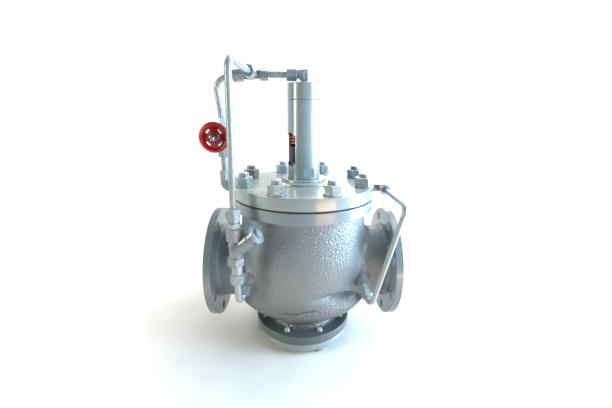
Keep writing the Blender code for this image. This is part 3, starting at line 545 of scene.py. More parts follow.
def turned(profile, segments=128, ring=False, round_off=0.0008):
    """Solid of revolution about Z; a profile that isn't a ring starts and ends on the axis."""
    points = softened(profile, round_off, ring) if round_off > 0 else profile
    return lofted([around(radius, height, segments) for radius, height in points], ring)


def bar(radius, low, high, start=(0.0, 0.0, 0.0), way=UP, segments=64, round_off=0.0):
    """Round bar between two places on a line."""
    profile = [(0.0, high), (radius, high), (radius, low), (0.0, low)]
    return stand(turned(profile, segments, round_off=round_off), start, way)


def sleeve(inner, outer, low, high, segments, round_off):
    """Ring of rectangular section about Z."""
    profile = [(inner, high), (outer, high), (outer, low), (inner, low)]
    return turned(profile, segments, True, round_off)


def hex_radius(angle, flats):
    """Distance from the axis to the side of a hexagon whose corners are slightly rounded."""
    crispness = 70.0
    total = sum(max(math.cos(angle - math.pi / 3 * side), 0.0) ** crispness for side in range(6))
    return flats / 2 / total ** (1.0 / crispness)


def hex_solid(flats, length, bore=0.0, chamfer_top=True, chamfer_low=True):
    """Hexagon nut about Z from 0 up, its corners cut by cones, flats facing +X and -X."""
    segments = 84
    circle = flats / 2 * 0.965
    slope = math.tan(math.radians(27.0))
    break_edge = 0.0006

    def sides(height, lean):
        ring = []
        for angle in angles_of(segments):
            reach = hex_radius(angle, flats)
            drop = lean * max(reach - circle, 0.0) * slope
            ring.append((reach * math.cos(angle), reach * math.sin(angle), height + drop))
        return ring

    mouth = [(bore, length - break_edge), (bore + break_edge, length)] if bore > 0 else [(0.0, length)]
    foot = [(bore + break_edge, 0.0), (bore, break_edge)] if bore > 0 else [(0.0, 0.0)]
    rings = [around(radius, height, segments) for radius, height in mouth + [(circle, length)]]
    rings += [sides(length, -1.0 if chamfer_top else 0.0), sides(0.0, 1.0 if chamfer_low else 0.0)]
    rings += [around(radius, height, segments) for radius, height in [(circle, 0.0)] + foot]
    return lofted(rings, bore > 0)


def threaded_rod(radius, low, high, thread_low, pitch, depth, segments=36):
    """Stud about Z: plain to where its painted-over thread starts, with a domed end."""
    break_edge = 0.0008
    dome = radius * 0.22
    thread_length = high - dome - thread_low
    rings = [around(0.0, low, segments), around(radius - break_edge, low, segments),
             around(radius, low + break_edge, segments), around(radius, thread_low, segments)]
    count = max(int(thread_length / pitch * 8), 4)
    for row in range(1, count + 1):
        height = thread_low + thread_length * row / count
        ring = []
        for angle in angles_of(segments):
            phase = (height - thread_low) / pitch - angle / (2 * math.pi)
            reach = radius - depth * (0.5 + 0.5 * math.cos(2 * math.pi * phase))
            ring.append((reach * math.cos(angle), reach * math.sin(angle), height))
        rings.append(ring)
    for share in (0.35, 0.7, 0.9):
        bend = share * math.pi / 2
        reach = radius * math.cos(bend) * 0.96 + 0.0002
        rings.append(around(reach, high - dome + dome * math.sin(bend), segments))
    return lofted(rings + [around(0.0, high, segments)])


def rounded_path(corners, bend_radius, steps=14):
    """Centre line through corner points, each inner corner rounded by an arc."""
    points = [corners[0]]
    for before, corner, after in zip(corners, corners[1:], corners[2:]):
        inward = (before - corner).normalized()
        outward = (after - corner).normalized()
        half = inward.angle(outward) / 2
        centre = corner + (inward + outward).normalized() * bend_radius / math.sin(half)
        middle = (corner - centre).normalized()
        along = (outward - inward).normalized()
        sweep = math.pi / 2 - half
        for step in range(steps + 1):
            angle = sweep * (2.0 * step / steps - 1.0)
            points.append(centre + (middle * math.cos(angle) + along * math.sin(angle)) * bend_radius)
    points.append(corners[-1])
    return points


def swept(points, radius, segments=32, squareness=2.0):
    """Closed bar along a centre line; a squareness over 2 gives a rounded square section."""
    end_round = 0.0006
    tangents = [(b - a).normalized() for a, b in zip(points, points[1:])]
    inner = [(a + b).normalized() for a, b in zip(tangents, tangents[1:])]
    tangents = [tangents[0]] + inner + [tangents[-1]]
    side = UP.cross(tangents[0]) if abs(tangents[0].z) < 0.9 else FRONT.cross(tangents[0])
    side.normalize()

    def ring(centre, tangent, scale):
        up = tangent.cross(side).normalized()
        section = []
        for angle in angles_of(segments):
            c, s = math.cos(angle), math.sin(angle)
            reach = scale / (abs(c) ** squareness + abs(s) ** squareness) ** (1.0 / squareness)
            section.append(flow(centre + side * (c * reach) + up * (s * reach)))
        return section

    rings = [[flow(points[0])], ring(points[0], tangents[0], radius - end_round)]
    last = len(points) - 1
    for index, (centre, tangent) in enumerate(zip(points, tangents)):
        side = (side - tangent * side.dot(tangent)).normalized()
        shift = end_round if index == 0 else -end_round if index == last else 0.0
        rings.append(ring(centre + tangent * shift, tangent, radius))
    return lofted(rings + [ring(points[-1], tangents[-1], radius - end_round), [flow(points[-1])]])


def circle_points(count, radius):
    for index in range(count):
        angle = 2 * math.pi * (index + 0.5) / count
        yield Vector((radius * math.cos(angle), radius * math.sin(angle), 0.0))


# ---------------------------------------------------------------- surfaces from a distance field
def surface_of(field, low, high, cell):
    """Closed mesh where field(points) is zero, by surface nets and steps along the gradient."""
    low, high = np.array(low, float), np.array(high, float)
    counts = np.ceil((high - low) / cell).astype(int) + 1
    axes = [low[k] + cell * np.arange(counts[k]) for k in range(3)]
    grid = np.stack(np.meshgrid(*axes, indexing="ij"), axis=-1).reshape(-1, 3)
    values = np.concatenate([field(part) for part in np.array_split(grid, 24)]).reshape(counts)
    inside = values < 0
    cells = counts - 1
    total = np.zeros(tuple(cells) + (3,))
    hits = np.zeros(tuple(cells))
    corners = [(i, j, k) for i in (0, 1) for j in (0, 1) for k in (0, 1)]

    def corner_view(array, corner):
        return array[tuple(slice(c, c + n) for c, n in zip(corner, cells))]

    for first in corners:
        for axis in range(3):
            if first[axis] == 1:
                continue
            second = tuple(1 if k == axis else c for k, c in enumerate(first))
            a, b = corner_view(values, first), corner_view(values, second)
            crossing = corner_view(inside, first) != corner_view(inside, second)
            share = np.where(crossing, a / np.where(crossing, a - b, 1.0), 0.0)
            for k in range(3):
                offset = share if k == axis else float(first[k])
                total[..., k] += np.where(crossing, offset, 0.0)
            hits += crossing
    used = hits > 0
    number = np.full(tuple(cells), -1)
    number[used] = np.arange(used.sum())
    verts = low + (np.argwhere(used) + total[used] / hits[used][:, None]) * cell
    faces = []
    for axis in range(3):
        u, v = (axis + 1) % 3, (axis + 2) % 3
        ahead = [slice(None)] * 3
        ahead[axis] = slice(1, None)
        behind = [slice(None)] * 3
        behind[axis] = slice(None, -1)
        at = np.argwhere(inside[tuple(ahead)] != inside[tuple(behind)])
        at = at[(at[:, u] > 0) & (at[:, v] > 0) & (at[:, u] < cells[u]) & (at[:, v] < cells[v])]
        step_u, step_v = np.eye(3, dtype=int)[[u, v]]
        quad = np.stack([number[tuple((at - du * step_u - dv * step_v).T)]
                         for du, dv in ((0, 0), (1, 0), (1, 1), (0, 1))], axis=1)
        flip = ~inside[tuple(at.T)]
        quad[flip] = quad[flip][:, ::-1]
        faces.append(quad)
    faces = np.concatenate(faces)
    edges = np.concatenate([faces[:, [k, (k + 1) % 4]] for k in range(4)])
    for _ in range(2):
        total = np.zeros_like(verts)
        degree = np.zeros(len(verts))
        for k in (0, 1):
            np.add.at(total, edges[:, k], verts[edges[:, 1 - k]])
            np.add.at(degree, edges[:, k], 1)
        verts = verts * 0.4 + total / degree[:, None] * 0.6
        for _ in range(3):
            verts = onto_surface(field, verts, cell)
    return verts, faces


def field_slope(field, points, step):
    """Difference of the field over two steps along each axis."""
    steps = [field(points + step * axis) - field(points - step * axis) for axis in np.eye(3)]
    return np.stack(steps, axis=1)


def onto_surface(field, points, cell):
    """One Newton step of the points towards the zero level."""
    delta = cell * 0.15
    gradient = field_slope(field, points, delta) / (2 * delta)
    size = np.maximum((gradient ** 2).sum(axis=1), 0.05)
    step = gradient * (field(points) / size)[:, None]
    reach = np.linalg.norm(step, axis=1)
    limit = np.minimum(1.0, cell * 0.6 / np.maximum(reach, 1e-9))
    return points - step * limit[:, None]


def melt(first, second, width):
    """Union of two distances with a fillet about as wide as the given width."""
    share = np.clip(0.5 + 0.5 * (second - first) / width, 0.0, 1.0)
    return second * (1 - share) + first * share - width * share * (1 - share)


def from_axis(points, start, way):
    """Distance from a line and place along it."""
    away = points - np.array(start)
    along = away @ np.array(way)
    return np.sqrt(np.maximum((away ** 2).sum(axis=1) - along ** 2, 0.0)), along


def rod_field(points, start, way, radius, low, high):
    off, along = from_axis(points, start, way)
    return np.maximum(np.maximum(off - radius, along - high), low - along)


# ---------------------------------------------------------------- body casting
GLOBE_HALF_X = 0.147
GLOBE_HALF_Y = 0.124
BOWL_START_Z = -0.0665
BOWL_DEPTH = 0.061
BOWL_POWER = 1.5


def smooth_step(values):
    values = np.clip(values, 0.0, 1.0)
    return values * values * (3.0 - 2.0 * values)


def globe_radius(angle, height):
    """Radius of the globe round the Z axis, its side lobes parted by a crease on the outlet side."""
    depth = np.clip((BOWL_START_Z - height) / BOWL_DEPTH, 0.0, 0.985)
    scale = (1.0 - depth ** BOWL_POWER) ** (1.0 / BOWL_POWER)
    inset = smooth_step((height - 0.010) / 0.105)
    half_x = (GLOBE_HALF_X - 0.014 * inset) * scale
    half_y = (GLOBE_HALF_Y - 0.013 * inset) * scale ** 0.7
    around = np.abs(np.degrees(angle))
    fade = smooth_step((90.0 - around) / 36.0)
    crease = -0.045 + 0.015 * np.minimum(around / 75.0, 1.0)
    offset = (height - crease) / np.where(height > crease, 0.0080, 0.0135)
    groove = 1.0 - 0.0215 / GLOBE_HALF_X * fade * np.exp(-np.sqrt(offset ** 2 + 0.012) * 1.1)
    return groove / np.sqrt((np.cos(angle) / half_x) ** 2 + (np.sin(angle) / half_y) ** 2)


def globe_field(points):
    angle = np.arctan2(points[:, 1], points[:, 0])
    height = points[:, 2]
    reach = np.hypot(points[:, 0], points[:, 1])
    delta = 0.001
    here = globe_radius(angle, height)
    slope = (globe_radius(angle, height + delta) - globe_radius(angle, height - delta)) / (2 * delta)
    side = (reach - here) / np.sqrt(1.0 + slope ** 2)
    return np.maximum(np.maximum(side, height - 0.140), -0.118 - height)


def disc_field(points, axis, radius, low, high):
    across = np.sqrt(np.maximum((points ** 2).sum(axis=1) - points[:, axis] ** 2, 0.0))
    along = points[:, axis]
    return np.maximum(np.maximum(across - radius, along - high), low - along)


def boss_field(points, tip, way):
    off, along = from_axis(points, tip, way)
    radius = 0.0138 - np.clip(along + 0.006, -0.05, 0.0) * 0.08
    return np.maximum(np.maximum(off - radius, along), -0.050 - along)


def body_field(points):
    """The rough casting: globe, necks, bosses and the fillets under every flange."""
    mirrored = points * np.array([-1.0, 1.0, 1.0])
    shape = globe_field(points)
    for side in (points, mirrored):
        neck = disc_field(side, 0, NECK_R, 0.0, 0.186)
        collar = disc_field(side, 0, FLANGE_R - 0.0015, 0.1785, 0.190)
        shape = melt(shape, melt(neck, collar, 0.010), 0.010)
    bottom = disc_field(points, 2, 0.0775, -0.140, -0.090)
    rim = disc_field(points, 2, BOTTOM_FLANGE_R - 0.0015, BODY_LOW_Z + 0.002,
                     BOTTOM_FLANGE_TOP_Z - 0.0004)
    shape = melt(shape, melt(bottom, rim, 0.014), 0.010)
    top = disc_field(points, 2, TOP_FLANGE_R - 0.0015, TOP_FLANGE_LOW_Z + 0.0004,
                     TOP_FLANGE_Z - 0.002)
    shape = melt(shape, top, 0.016)
    shape = melt(shape, boss_field(points, SUPPLY_BOSS, SUPPLY_WAY), 0.006)
    return melt(shape, boss_field(points, SENSE_BOSS, SENSE_WAY), 0.006)


def cast_surface():
    """The casting with the slight unevenness of a sand mould."""
    verts, faces = surface_of(body_field, (-0.196, -0.150, -0.150), (0.196, 0.150, 0.156), 0.0021)
    uneven = np.array([noise.noise(Vector(v) * 42.0) * 0.00030
                       + noise.noise(Vector(v) * 130.0) * 0.00016 for v in verts])
    slope = field_slope(body_field, verts, 0.0006)
    slope /= np.maximum(np.linalg.norm(slope, axis=1), 1e-9)[:, None]
    return lifted_mesh((verts + slope * uneven[:, None], faces))


def oval_chamber(centre_x, half_x, half_y, rows, segments=96):
    rings = [[flow((centre_x, 0.0, rows[0][0]))]]
    for height, scale in rows:
        rings.append([flow((centre_x + half_x * scale * math.cos(angle),
                            half_y * scale * math.sin(angle), height))
                      for angle in angles_of(segments)])
    return lofted(rings + [[flow((centre_x, 0.0, rows[-1][0]))]])


def side_flange(way):
    low_x = FLANGE_FACE_X - FLANGE_T
    raised_x = FLANGE_FACE_X + RAISED_FACE_T
    plate = turned([(0.0, raised_x), (RAISED_FACE_R, raised_x),
                    (RAISED_FACE_R + RAISED_FACE_T / 2, FLANGE_FACE_X), (FLANGE_R, FLANGE_FACE_X),
                    (FLANGE_R, low_x), (0.0, low_x)], 160, False, 0.0011)
    return stand(plate, way=way)


ARROW = ((-0.042, -0.0022), (-0.008, -0.0022), (0.002, 0.0042), (0.018, 0.0042), (0.018, 0.0008),
         (0.031, 0.0072), (0.018, 0.0136), (0.018, 0.0102), (-0.001, 0.0102), (-0.011, 0.0038),
         (-0.042, 0.0038))


def arrow_relief():
    """Raised arrow on the lower lobe, from inlet to outlet, that follows the casting's curve."""
    flat = []
    for start, end in zip(ARROW, ARROW[1:] + ARROW[:1]):
        across, up = end[0] - start[0], end[1] - start[1]
        count = max(int(math.hypot(across, up) / 0.0022), 1)
        flat += [(start[0] + across * k / count, start[1] + up * k / count) for k in range(count)]

    def on_globe(across, up, lift):
        """Place on the casting's front at a distance along it, lifted clear of it."""
        point = np.array([[across, -0.110, -0.0635 + up * 0.85]])
        for _ in range(12):
            point[0, 1] += body_field(point)[0] * 1.2
        away = field_slope(body_field, point, 0.0005)[0]
        return flow(point[0] + away / np.linalg.norm(away) * lift)

    bm = bmesh.new()
    loops = []
    for lift, shrink in ((-0.003, -0.0008), (0.0018, 0.0), (0.0026, 0.0008)):
        loop = []
        for index, (across, up) in enumerate(flat):
            before, after = flat[index - 1], flat[(index + 1) % len(flat)]
            along = Vector((after[0] - before[0], after[1] - before[1])).normalized()
            loop.append(bm.verts.new(on_globe(across - along.y * shrink, up + along.x * shrink, lift)))
        loops.append(loop)
    for low, high in zip(loops, loops[1:]):
        for index in range(len(flat)):
            bm.faces.new((low[index - 1], low[index], high[index], high[index - 1]))
    for loop in (loops[0], loops[-1]):
        edges = [bm.edges.get((loop[index - 1], loop[index])) for index in range(len(loop))]
        bmesh.ops.triangle_fill(bm, use_beauty=True, edges=edges)
    bmesh.ops.recalc_face_normals(bm, faces=bm.faces)
    return mesh_from(bm, "arrow")


def drilled(radius, pitch_r, low, high, segments):
    """Eight upright bars that cut the bolt holes of a round flange."""
    return [bar(radius, low, high, point, segments=segments) for point in circle_points(8, pitch_r)]


def make_body():
    solids = [bar(TOP_FLANGE_R, TOP_FLANGE_LOW_Z, TOP_FLANGE_Z, segments=192, round_off=0.0012),
              bar(BOTTOM_FLANGE_R, BODY_LOW_Z, BOTTOM_FLANGE_TOP_Z, segments=160, round_off=0.0012),
              side_flange(RIGHT), side_flange(LEFT), arrow_relief()]
    upper_rows = ((0.128, 0.90), (0.105, 1.0), (0.030, 1.0), (0.008, 0.86))
    lower_rows = ((-0.010, 0.86), (-0.025, 1.0), (-0.062, 1.0), (-0.080, 0.85), (-0.098, 0.58))
    cuts = [oval_chamber(0.014, 0.112, 0.106, upper_rows),
            oval_chamber(-0.014, 0.112, 0.104, lower_rows),
            bar(CHAMBER_R, 0.120, 0.180, segments=128),
            bar(BOTTOM_OPENING_R, -0.170, -0.090, segments=96),
            bar(SEAT_BORE_R + 0.008, -0.020, 0.020, segments=96),
            bar(BORE_R, 0.112, 0.212, way=LEFT, segments=96),
            bar(BORE_R, 0.112, 0.212, way=RIGHT, segments=96)]
    for point in circle_points(8, PITCH_R):
        cuts += [bar(HOLE_R, 0.160, 0.220, (0.0, point.x, point.y), way, 40) for way in (RIGHT, LEFT)]
    cuts += drilled(STUD_HOLE_R, STUD_PITCH_R, TOP_FLANGE_LOW_Z + 0.001, 0.160, 24)
    cuts += drilled(COVER_HOLE_R, COVER_PITCH_R, -0.160, -0.120, 24)
    casting = cut(joined(cast_surface(), *solids), *cuts)
    piece("valve_body", casting, "cast", "body_casting", sharp=40.0)


# ---------------------------------------------------------------- covers, diaphragm, column
def make_covers():
    bonnet = turned([
        (STEM_HOLE_R, INNER_PAD_TOP_Z), (INNER_PAD_R, INNER_PAD_TOP_Z), (INNER_PAD_R, PAD_TOP_Z + 0.0012),
        (INNER_PAD_R + 0.0022, PAD_TOP_Z), (PAD_R, PAD_TOP_Z), (PAD_R, BONNET_TOP_Z + 0.0012),
        (PAD_R + 0.0020, BONNET_TOP_Z), (BONNET_R, BONNET_TOP_Z), (BONNET_R, BONNET_LOW_Z),
        (CHAMBER_R, BONNET_LOW_Z), (CHAMBER_R - 0.004, 0.172), (0.024, 0.172), (0.022, 0.160),
        (STEM_HOLE_R, 0.160)], 224, True, 0.0013)
    holes = drilled(STUD_HOLE_R, STUD_PITCH_R, 0.150, 0.190, 32)
    holes += [bar(0.0035, 0.085, 0.155, (0.0, 0.0, PORT_Z), way, 24) for way in (LEFT, RIGHT)]
    piece("bonnet_cover", cut(stand(bonnet), *holes), "cover", "bonnet")
    cover = turned([
        (0.0, -0.152), (STEM_HOLE_R, -0.152), (STEM_HOLE_R, -0.095), (0.017, -0.095), (0.019, -0.100),
        (0.021, COVER_TOP_Z), (BOTTOM_FLANGE_R, COVER_TOP_Z), (BOTTOM_FLANGE_R, COVER_LOW_Z),
        (0.0, COVER_LOW_Z)], 176, False, 0.0018)
    holes = drilled(COVER_HOLE_R, COVER_PITCH_R, -0.170, -0.140, 32)
    piece("base_cover", cut(stand(cover), *holes), "cover", "bottom_cover")
    gasket = sleeve(BOTTOM_OPENING_R + 0.002, BOTTOM_FLANGE_R - 0.0015, COVER_TOP_Z + GAP,
                    BODY_LOW_Z - GAP, 160, 0.0)
    piece("base_gasket", stand(gasket), "rubber", "bottom_gasket")


def make_diaphragm():
    """The clamped rim and the folded sheet inside it, both staying with the valve."""
    rim_top, rim_low = BONNET_LOW_Z - GAP, TOP_FLANGE_Z + GAP
    low_centre = 0.1264
    sheet = rim_top - rim_low
    rim = sleeve(0.0975, 0.1450, rim_low, rim_top, 192, 0.0006)
    holes = drilled(STUD_HOLE_R, STUD_PITCH_R, 0.150, 0.160, 24)
    piece("diaphragm_rim", cut(stand(rim), *holes), "rubber", "diaphragm")
    fold = turned([
        (STEM_HOLE_R, low_centre), (0.076, low_centre), (0.090, rim_top - 0.004),
        (0.095, rim_top - 0.0002), (0.0972, rim_top - 0.0002), (0.0972, rim_low + 0.0002),
        (0.0962, rim_low), (0.0925, rim_low - 0.004), (0.078, low_centre - sheet),
        (STEM_HOLE_R, low_centre - sheet)], 128, True, 0.0015)
    fold = piece("diaphragm_fold", stand(fold), "rubber", "diaphragm")
    tuple(flow((0, 0, rim_top)))
    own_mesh(fold)


def rounded_block(centre, way, size, corner):
    """Box facing a direction, its edges along that direction rounded."""
    bm = bmesh.new()
    bmesh.ops.create_cube(bm, size=1.0, matrix=Matrix.Diagonal((*size, 1.0)))
    if corner > 0:
        deep = [edge for edge in bm.edges if abs(edge.verts[0].co.z - edge.verts[1].co.z) > 0.001]
        bmesh.ops.bevel(bm, geom=deep, offset=corner, segments=8, affect="EDGES")
    mesh = mesh_from(bm, "block")
    axes = Matrix((UP.cross(way), UP, way)).transposed().to_4x4()
    mesh.transform(Matrix.Translation(flow(centre)) @ axes)
    return mesh


WINDOW_Z = 0.2495
WINDOW_SIZE = (0.042, 0.065, 0.030)
WRENCH_FLAT_Z = 0.2035
WRENCH_FLAT_SIZE = (0.030, 0.0155, 0.010)
SPRING_LOW_Z = 0.2553
SPRING_TOP_Z = 0.3377
SPRING_TURNS = 12.5
SPRING_R = 0.0235
WIRE_R = 0.00225


def make_column():
    column = sleeve(COLUMN_BORE_R, COLUMN_R, INNER_PAD_TOP_Z + GAP, COLUMN_TOP_Z, 160, 0.0008)
    window_way = Vector((-math.cos(COLUMN_TURN), -math.sin(COLUMN_TURN), 0.0))
    flat_way = Vector((math.sin(COLUMN_TURN), -math.cos(COLUMN_TURN), 0.0))
    middle = window_way * (COLUMN_R + 0.002) + UP * WINDOW_Z
    cuts = [rounded_block(middle, window_way, WINDOW_SIZE, 0.005)]
    for way in (flat_way, -flat_way):
        middle = way * (COLUMN_R + 0.0030) + UP * WRENCH_FLAT_Z
        cuts.append(rounded_block(middle, way, WRENCH_FLAT_SIZE, 0.0))
    piece("spring_housing", cut(stand(column), *cuts), "column", "spring_column", sharp=10.0)
    spigot_r, joint_z, spigot_low = COLUMN_BORE_R - GAP, COLUMN_TOP_Z + GAP, 0.338
    cap = turned([(0.0, CAP_TOP_Z), (COLUMN_R, CAP_TOP_Z), (COLUMN_R, joint_z), (spigot_r, joint_z),
                  (spigot_r, spigot_low), (0.0, spigot_low)], 160, False, 0.0014)
    piece("housing_cap", stand(cap), "cover", "column_cap")


def make_spring():
    """Coil spring with closed ends."""
    points = []
    count = int(SPRING_TURNS * 40)
    length = SPRING_TOP_Z - SPRING_LOW_Z
    for step in range(count + 1):
        share = step / count
        angle = 2 * math.pi * SPRING_TURNS * share
        closing = 0.022 * (math.exp(-share * 30.0) - math.exp(-(1 - share) * 30.0)) * 0.5
        height = SPRING_LOW_Z + WIRE_R + (length - 2 * WIRE_R) * min(max(share + closing, 0.0), 1.0)
        points.append(Vector((SPRING_R * math.cos(angle), SPRING_R * math.sin(angle), height)))
    spring = piece("coil_spring", swept(points, WIRE_R, 12), "spring", "main_spring")
    tuple(flow((0, 0, SPRING_TOP_Z)))
    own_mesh(spring)


# ---------------------------------------------------------------- stem, plug and seat
PLUG_R = 0.056
PLATE_R = 0.072
SEAL_TOP_Z = -0.0350
SEAL_LOW_Z = -0.0412


def make_trim():
    """Inner pieces seen through the ports and the window."""
    def part(name, profile, look, node, body="stem", ring=True, segments=96):
        piece(name, stand(turned(profile, segments, ring, 0.0007)), look, node, body=body)

    part("stem_rod", [(0.0, 0.236), (STEM_R, 0.236), (STEM_R, -0.140), (0.0, -0.140)],
         "steel", "main_stem", ring=False, segments=48)
    part("spring_seat", [
        (0.0, 0.2550), (0.0275, 0.2550), (0.0275, 0.2450), (0.0262, 0.2440), (0.0262, 0.2400),
        (0.0275, 0.2390), (0.0275, 0.2140), (STEM_HOLE_R, 0.2140), (STEM_HOLE_R, 0.2363), (0.0, 0.2363)],
        "dark", "lower_spring_seat", ring=False)
    part("valve_plug", [
        (STEM_HOLE_R, SEAL_TOP_Z - 0.0015), (0.041, SEAL_TOP_Z - 0.0015), (0.041, SEAL_LOW_Z - GAP),
        (PLUG_R, SEAL_LOW_Z - GAP), (PLUG_R, -0.050), (0.050, -0.055), (0.020, -0.060), (0.018, -0.074),
        (STEM_HOLE_R, -0.074)], "steel", "main_plug")
    part("plug_seal_ring", [(0.0413, SEAL_TOP_Z), (0.0555, SEAL_TOP_Z), (0.0555, SEAL_LOW_Z),
                            (0.0413, SEAL_LOW_Z)], "rubber", "plug_seal")
    part("brass_seat", [
        (SEAT_BORE_R - 0.003, 0.007), (SEAT_BORE_R + 0.0071, 0.007), (SEAT_BORE_R + 0.0071, -0.0103),
        (SEAT_BORE_R + 0.010, -0.0103), (SEAT_BORE_R + 0.010, -0.0135), (SEAT_BORE_R, -0.0145),
        (SEAT_BORE_R - 0.003, -0.0135)], "brass", "seat_ring", "valve")
    part("top_diaphragm_plate", [
        (STEM_HOLE_R, 0.138), (0.018, 0.138), (0.020, 0.1317), (PLATE_R, 0.1317), (PLATE_R, 0.1267),
        (STEM_HOLE_R, 0.1267)], "dark", "upper_diaphragm_plate")
    part("under_diaphragm_plate", [
        (STEM_HOLE_R, 0.1235), (PLATE_R, 0.1235), (PLATE_R, 0.1185), (0.022, 0.1185), (0.020, 0.108),
        (STEM_HOLE_R, 0.108)], "dark", "lower_diaphragm_plate")


# ---------------------------------------------------------------- fasteners
NUT_TURNS = (24.3, 45.4, 27.9, 28.9, 28.4, 50.2, 55.3, 20.5)     # degrees, as the nuts stand


def hexagon(start, way, flats, length, turn, bore=0.0, chamfer_top=True, chamfer_low=True):
    """Hexagon standing at a place, turned about its axis by an angle in degrees."""
    return stand(hex_solid(flats, length, bore, chamfer_top, chamfer_low), start, way, turn)


def make_fasteners():
    washer_z, nut_z = BONNET_TOP_Z + GAP, 0.1837
    for number, (point, turn) in enumerate(zip(circle_points(8, STUD_PITCH_R), NUT_TURNS), 1):
        node = f"bonnet_stud_{number}"
        stud = threaded_rod(0.010, 0.134, 0.2085, 0.1940, 0.0025, 0.00075)
        piece(f"stud_{number}", stand(stud, point), "bolt", node, sharp=50.0)
        nut = hexagon(point + UP * nut_z, UP, 0.0300, 0.0158, turn, 0.0100, chamfer_low=False)
        piece(f"nut_{number}", nut, "bolt", node, sharp=30.0)
        washer = sleeve(0.0100, 0.0175, washer_z, washer_z + 0.003, 64, 0.0007)
        piece(f"washer_{number}", stand(washer, point), "bolt", node)
    head_top = COVER_LOW_Z - GAP
    for number, point in enumerate(circle_points(8, COVER_PITCH_R), 1):
        node = f"cover_bolt_{number}"
        shank = threaded_rod(0.006, head_top - 0.002, -0.1225, -0.1275, 0.00175, 0.0005, 28)
        piece(f"base_screw_{number}", stand(shank, point), "bolt", node, sharp=50.0)
        head = hexagon(point - UP * FLOW_Z, UP, 0.0180, head_top + FLOW_Z, 7.0 * number,
                       chamfer_top=False)
        piece(f"base_screw_head_{number}", head, "bolt", node, sharp=30.0)


# ---------------------------------------------------------------- pipework
def fitting_nut(name, node, start, way, flats, length, tube_r, turn):
    """Union nut with a bore for its tube."""
    nut = hexagon(start, way, flats, length, turn, tube_r + 0.0005)
    piece(name, nut, "nut", node, sharp=30.0)


def pipe(name, node, points, radius):
    piece(name, swept(points, radius), "pipe", node)


def rod(start, way, radius, length, round_off=0.0008, segments=48):
    return bar(radius, 0.0, length, start, way, segments, round_off)


def tube_bore(start, way):
    """Bar that cuts the hole for a thin tube's end."""
    return rod(start, way, SENSE_R + GAP, 0.0200, 0.0, 32)


def rim_elbow(name, node, rim_way, corner, way, half_width, flats, nut_low, nut_length, turn,
              bore_low):
    """Elbow from the bonnet's rim to a thin tube, with a bored end nut."""
    start = rim_way * (BONNET_R + GAP) + UP * PORT_Z
    bend = swept(rounded_path([start, corner, corner + way * 0.0150], 0.009), half_width, 48, 4.0)
    nut = hexagon(corner + way * nut_low, way, flats, nut_length, turn)
    elbow = cut(joined(bend, nut), tube_bore(corner + way * bore_low, way))
    piece(name, elbow, "pipe", node, sharp=30.0)


def forged_block(centre, size, corner=0.0022, tilt=0.0):
    """Box with well rounded edges, its sides along the axes or leaning by an angle in degrees."""
    bm = bmesh.new()
    bmesh.ops.create_cube(bm, size=1.0, matrix=Matrix.Diagonal((*size, 1.0)))
    bmesh.ops.bevel(bm, geom=list(bm.edges), offset=corner, segments=4, profile=0.6, affect="EDGES")
    mesh = mesh_from(bm, "forging")
    mesh.transform(Matrix.Translation(flow(centre)) @ Matrix.Rotation(math.radians(tilt), 4, "Y"))
    return mesh


def tee_field(points):
    arms = rod_field(points, TEE_CENTRE, RIGHT, 0.0085, -0.0065, 0.0140)
    arms = melt(arms, rod_field(points, TEE_CENTRE, TEE_LEFT_WAY, 0.0085, 0.0, 0.0155), 0.004)
    return melt(arms, rod_field(points, TEE_CENTRE, BRANCH_WAY, 0.0084, 0.0, 0.0150), 0.004)


def lifted_mesh(surface):
    verts, faces = surface
    return mesh_of("surface", verts + np.array([0.0, 0.0, FLOW_Z]), faces)


def make_top_run():
    elbow_low = CAP_TOP_Z + GAP
    block_height = PIPE_Z + 0.0092 - elbow_low - 0.0030
    elbow = joined(
        forged_block((0, 0, elbow_low + 0.0030 + block_height / 2), (0.0140, 0.0140, block_height)),
        forged_block((-0.0070, 0, PIPE_Z), (0.0140, 0.0158, 0.0158)),
        forged_block((-0.0056, 0, 0.3871), (0.0112, 0.0130, 0.0112), 0.0015, -41.4),
        rod((0, 0, elbow_low), UP, 0.0066, 0.0060))
    piece("column_elbow", elbow, "nut", "top_elbow", sharp=30.0)
    pipe("cross_pipe", "cross_tube",
         [Vector((-0.0225, 0, PIPE_Z)), Vector((-0.0790, 0, PIPE_Z))], PILOT_R)
    low, high = ([c + reach for c in TEE_CENTRE] for reach in (-0.024, 0.024))
    tee = lifted_mesh(surface_of(tee_field, low, high, 0.0009))
    piece("tee", tee, "nut", "tee_fitting", sharp=50.0)
    fitting_nut("elbow_nut", "top_elbow_nut", Vector((-0.0143, 0, PIPE_Z)), LEFT,
                0.0210, 0.0200, PILOT_R, 12.0)
    fitting_nut("tee_nut_right", "tee_right_nut", TEE_CENTRE + RIGHT * 0.0143, RIGHT,
                0.0200, 0.0165, PILOT_R, 8.0)
    fitting_nut("tee_nut_front", "tee_front_nut", TEE_CENTRE + BRANCH_WAY * 0.0153, BRANCH_WAY,
                0.0215, 0.0150, PILOT_R, 20.0)
    fitting_nut("tee_nut_left", "tee_left_nut", TEE_CENTRE + TEE_LEFT_WAY * 0.0158, TEE_LEFT_WAY,
                0.0210, 0.0225, SENSE_R, 35.0)
    pipe("riser_pipe", "pilot_riser", rounded_path([
        TEE_CENTRE + BRANCH_WAY * 0.0225, RISER_CORNER, Vector((STRING_X, STRING_Y, 0.170)),
        Vector((STRING_X, STRING_Y, 0.146))], 0.020), PILOT_R)
    pipe("feed_pipe", "needle_feed_tube", rounded_path([
        TEE_CENTRE + TEE_LEFT_WAY * 0.0285, Vector((NEEDLE_X - 0.0080, 0, 0.3835)),
        Vector((NEEDLE_X, 0, 0.320)), Vector((NEEDLE_X, 0, 0.301))], 0.024), SENSE_R)


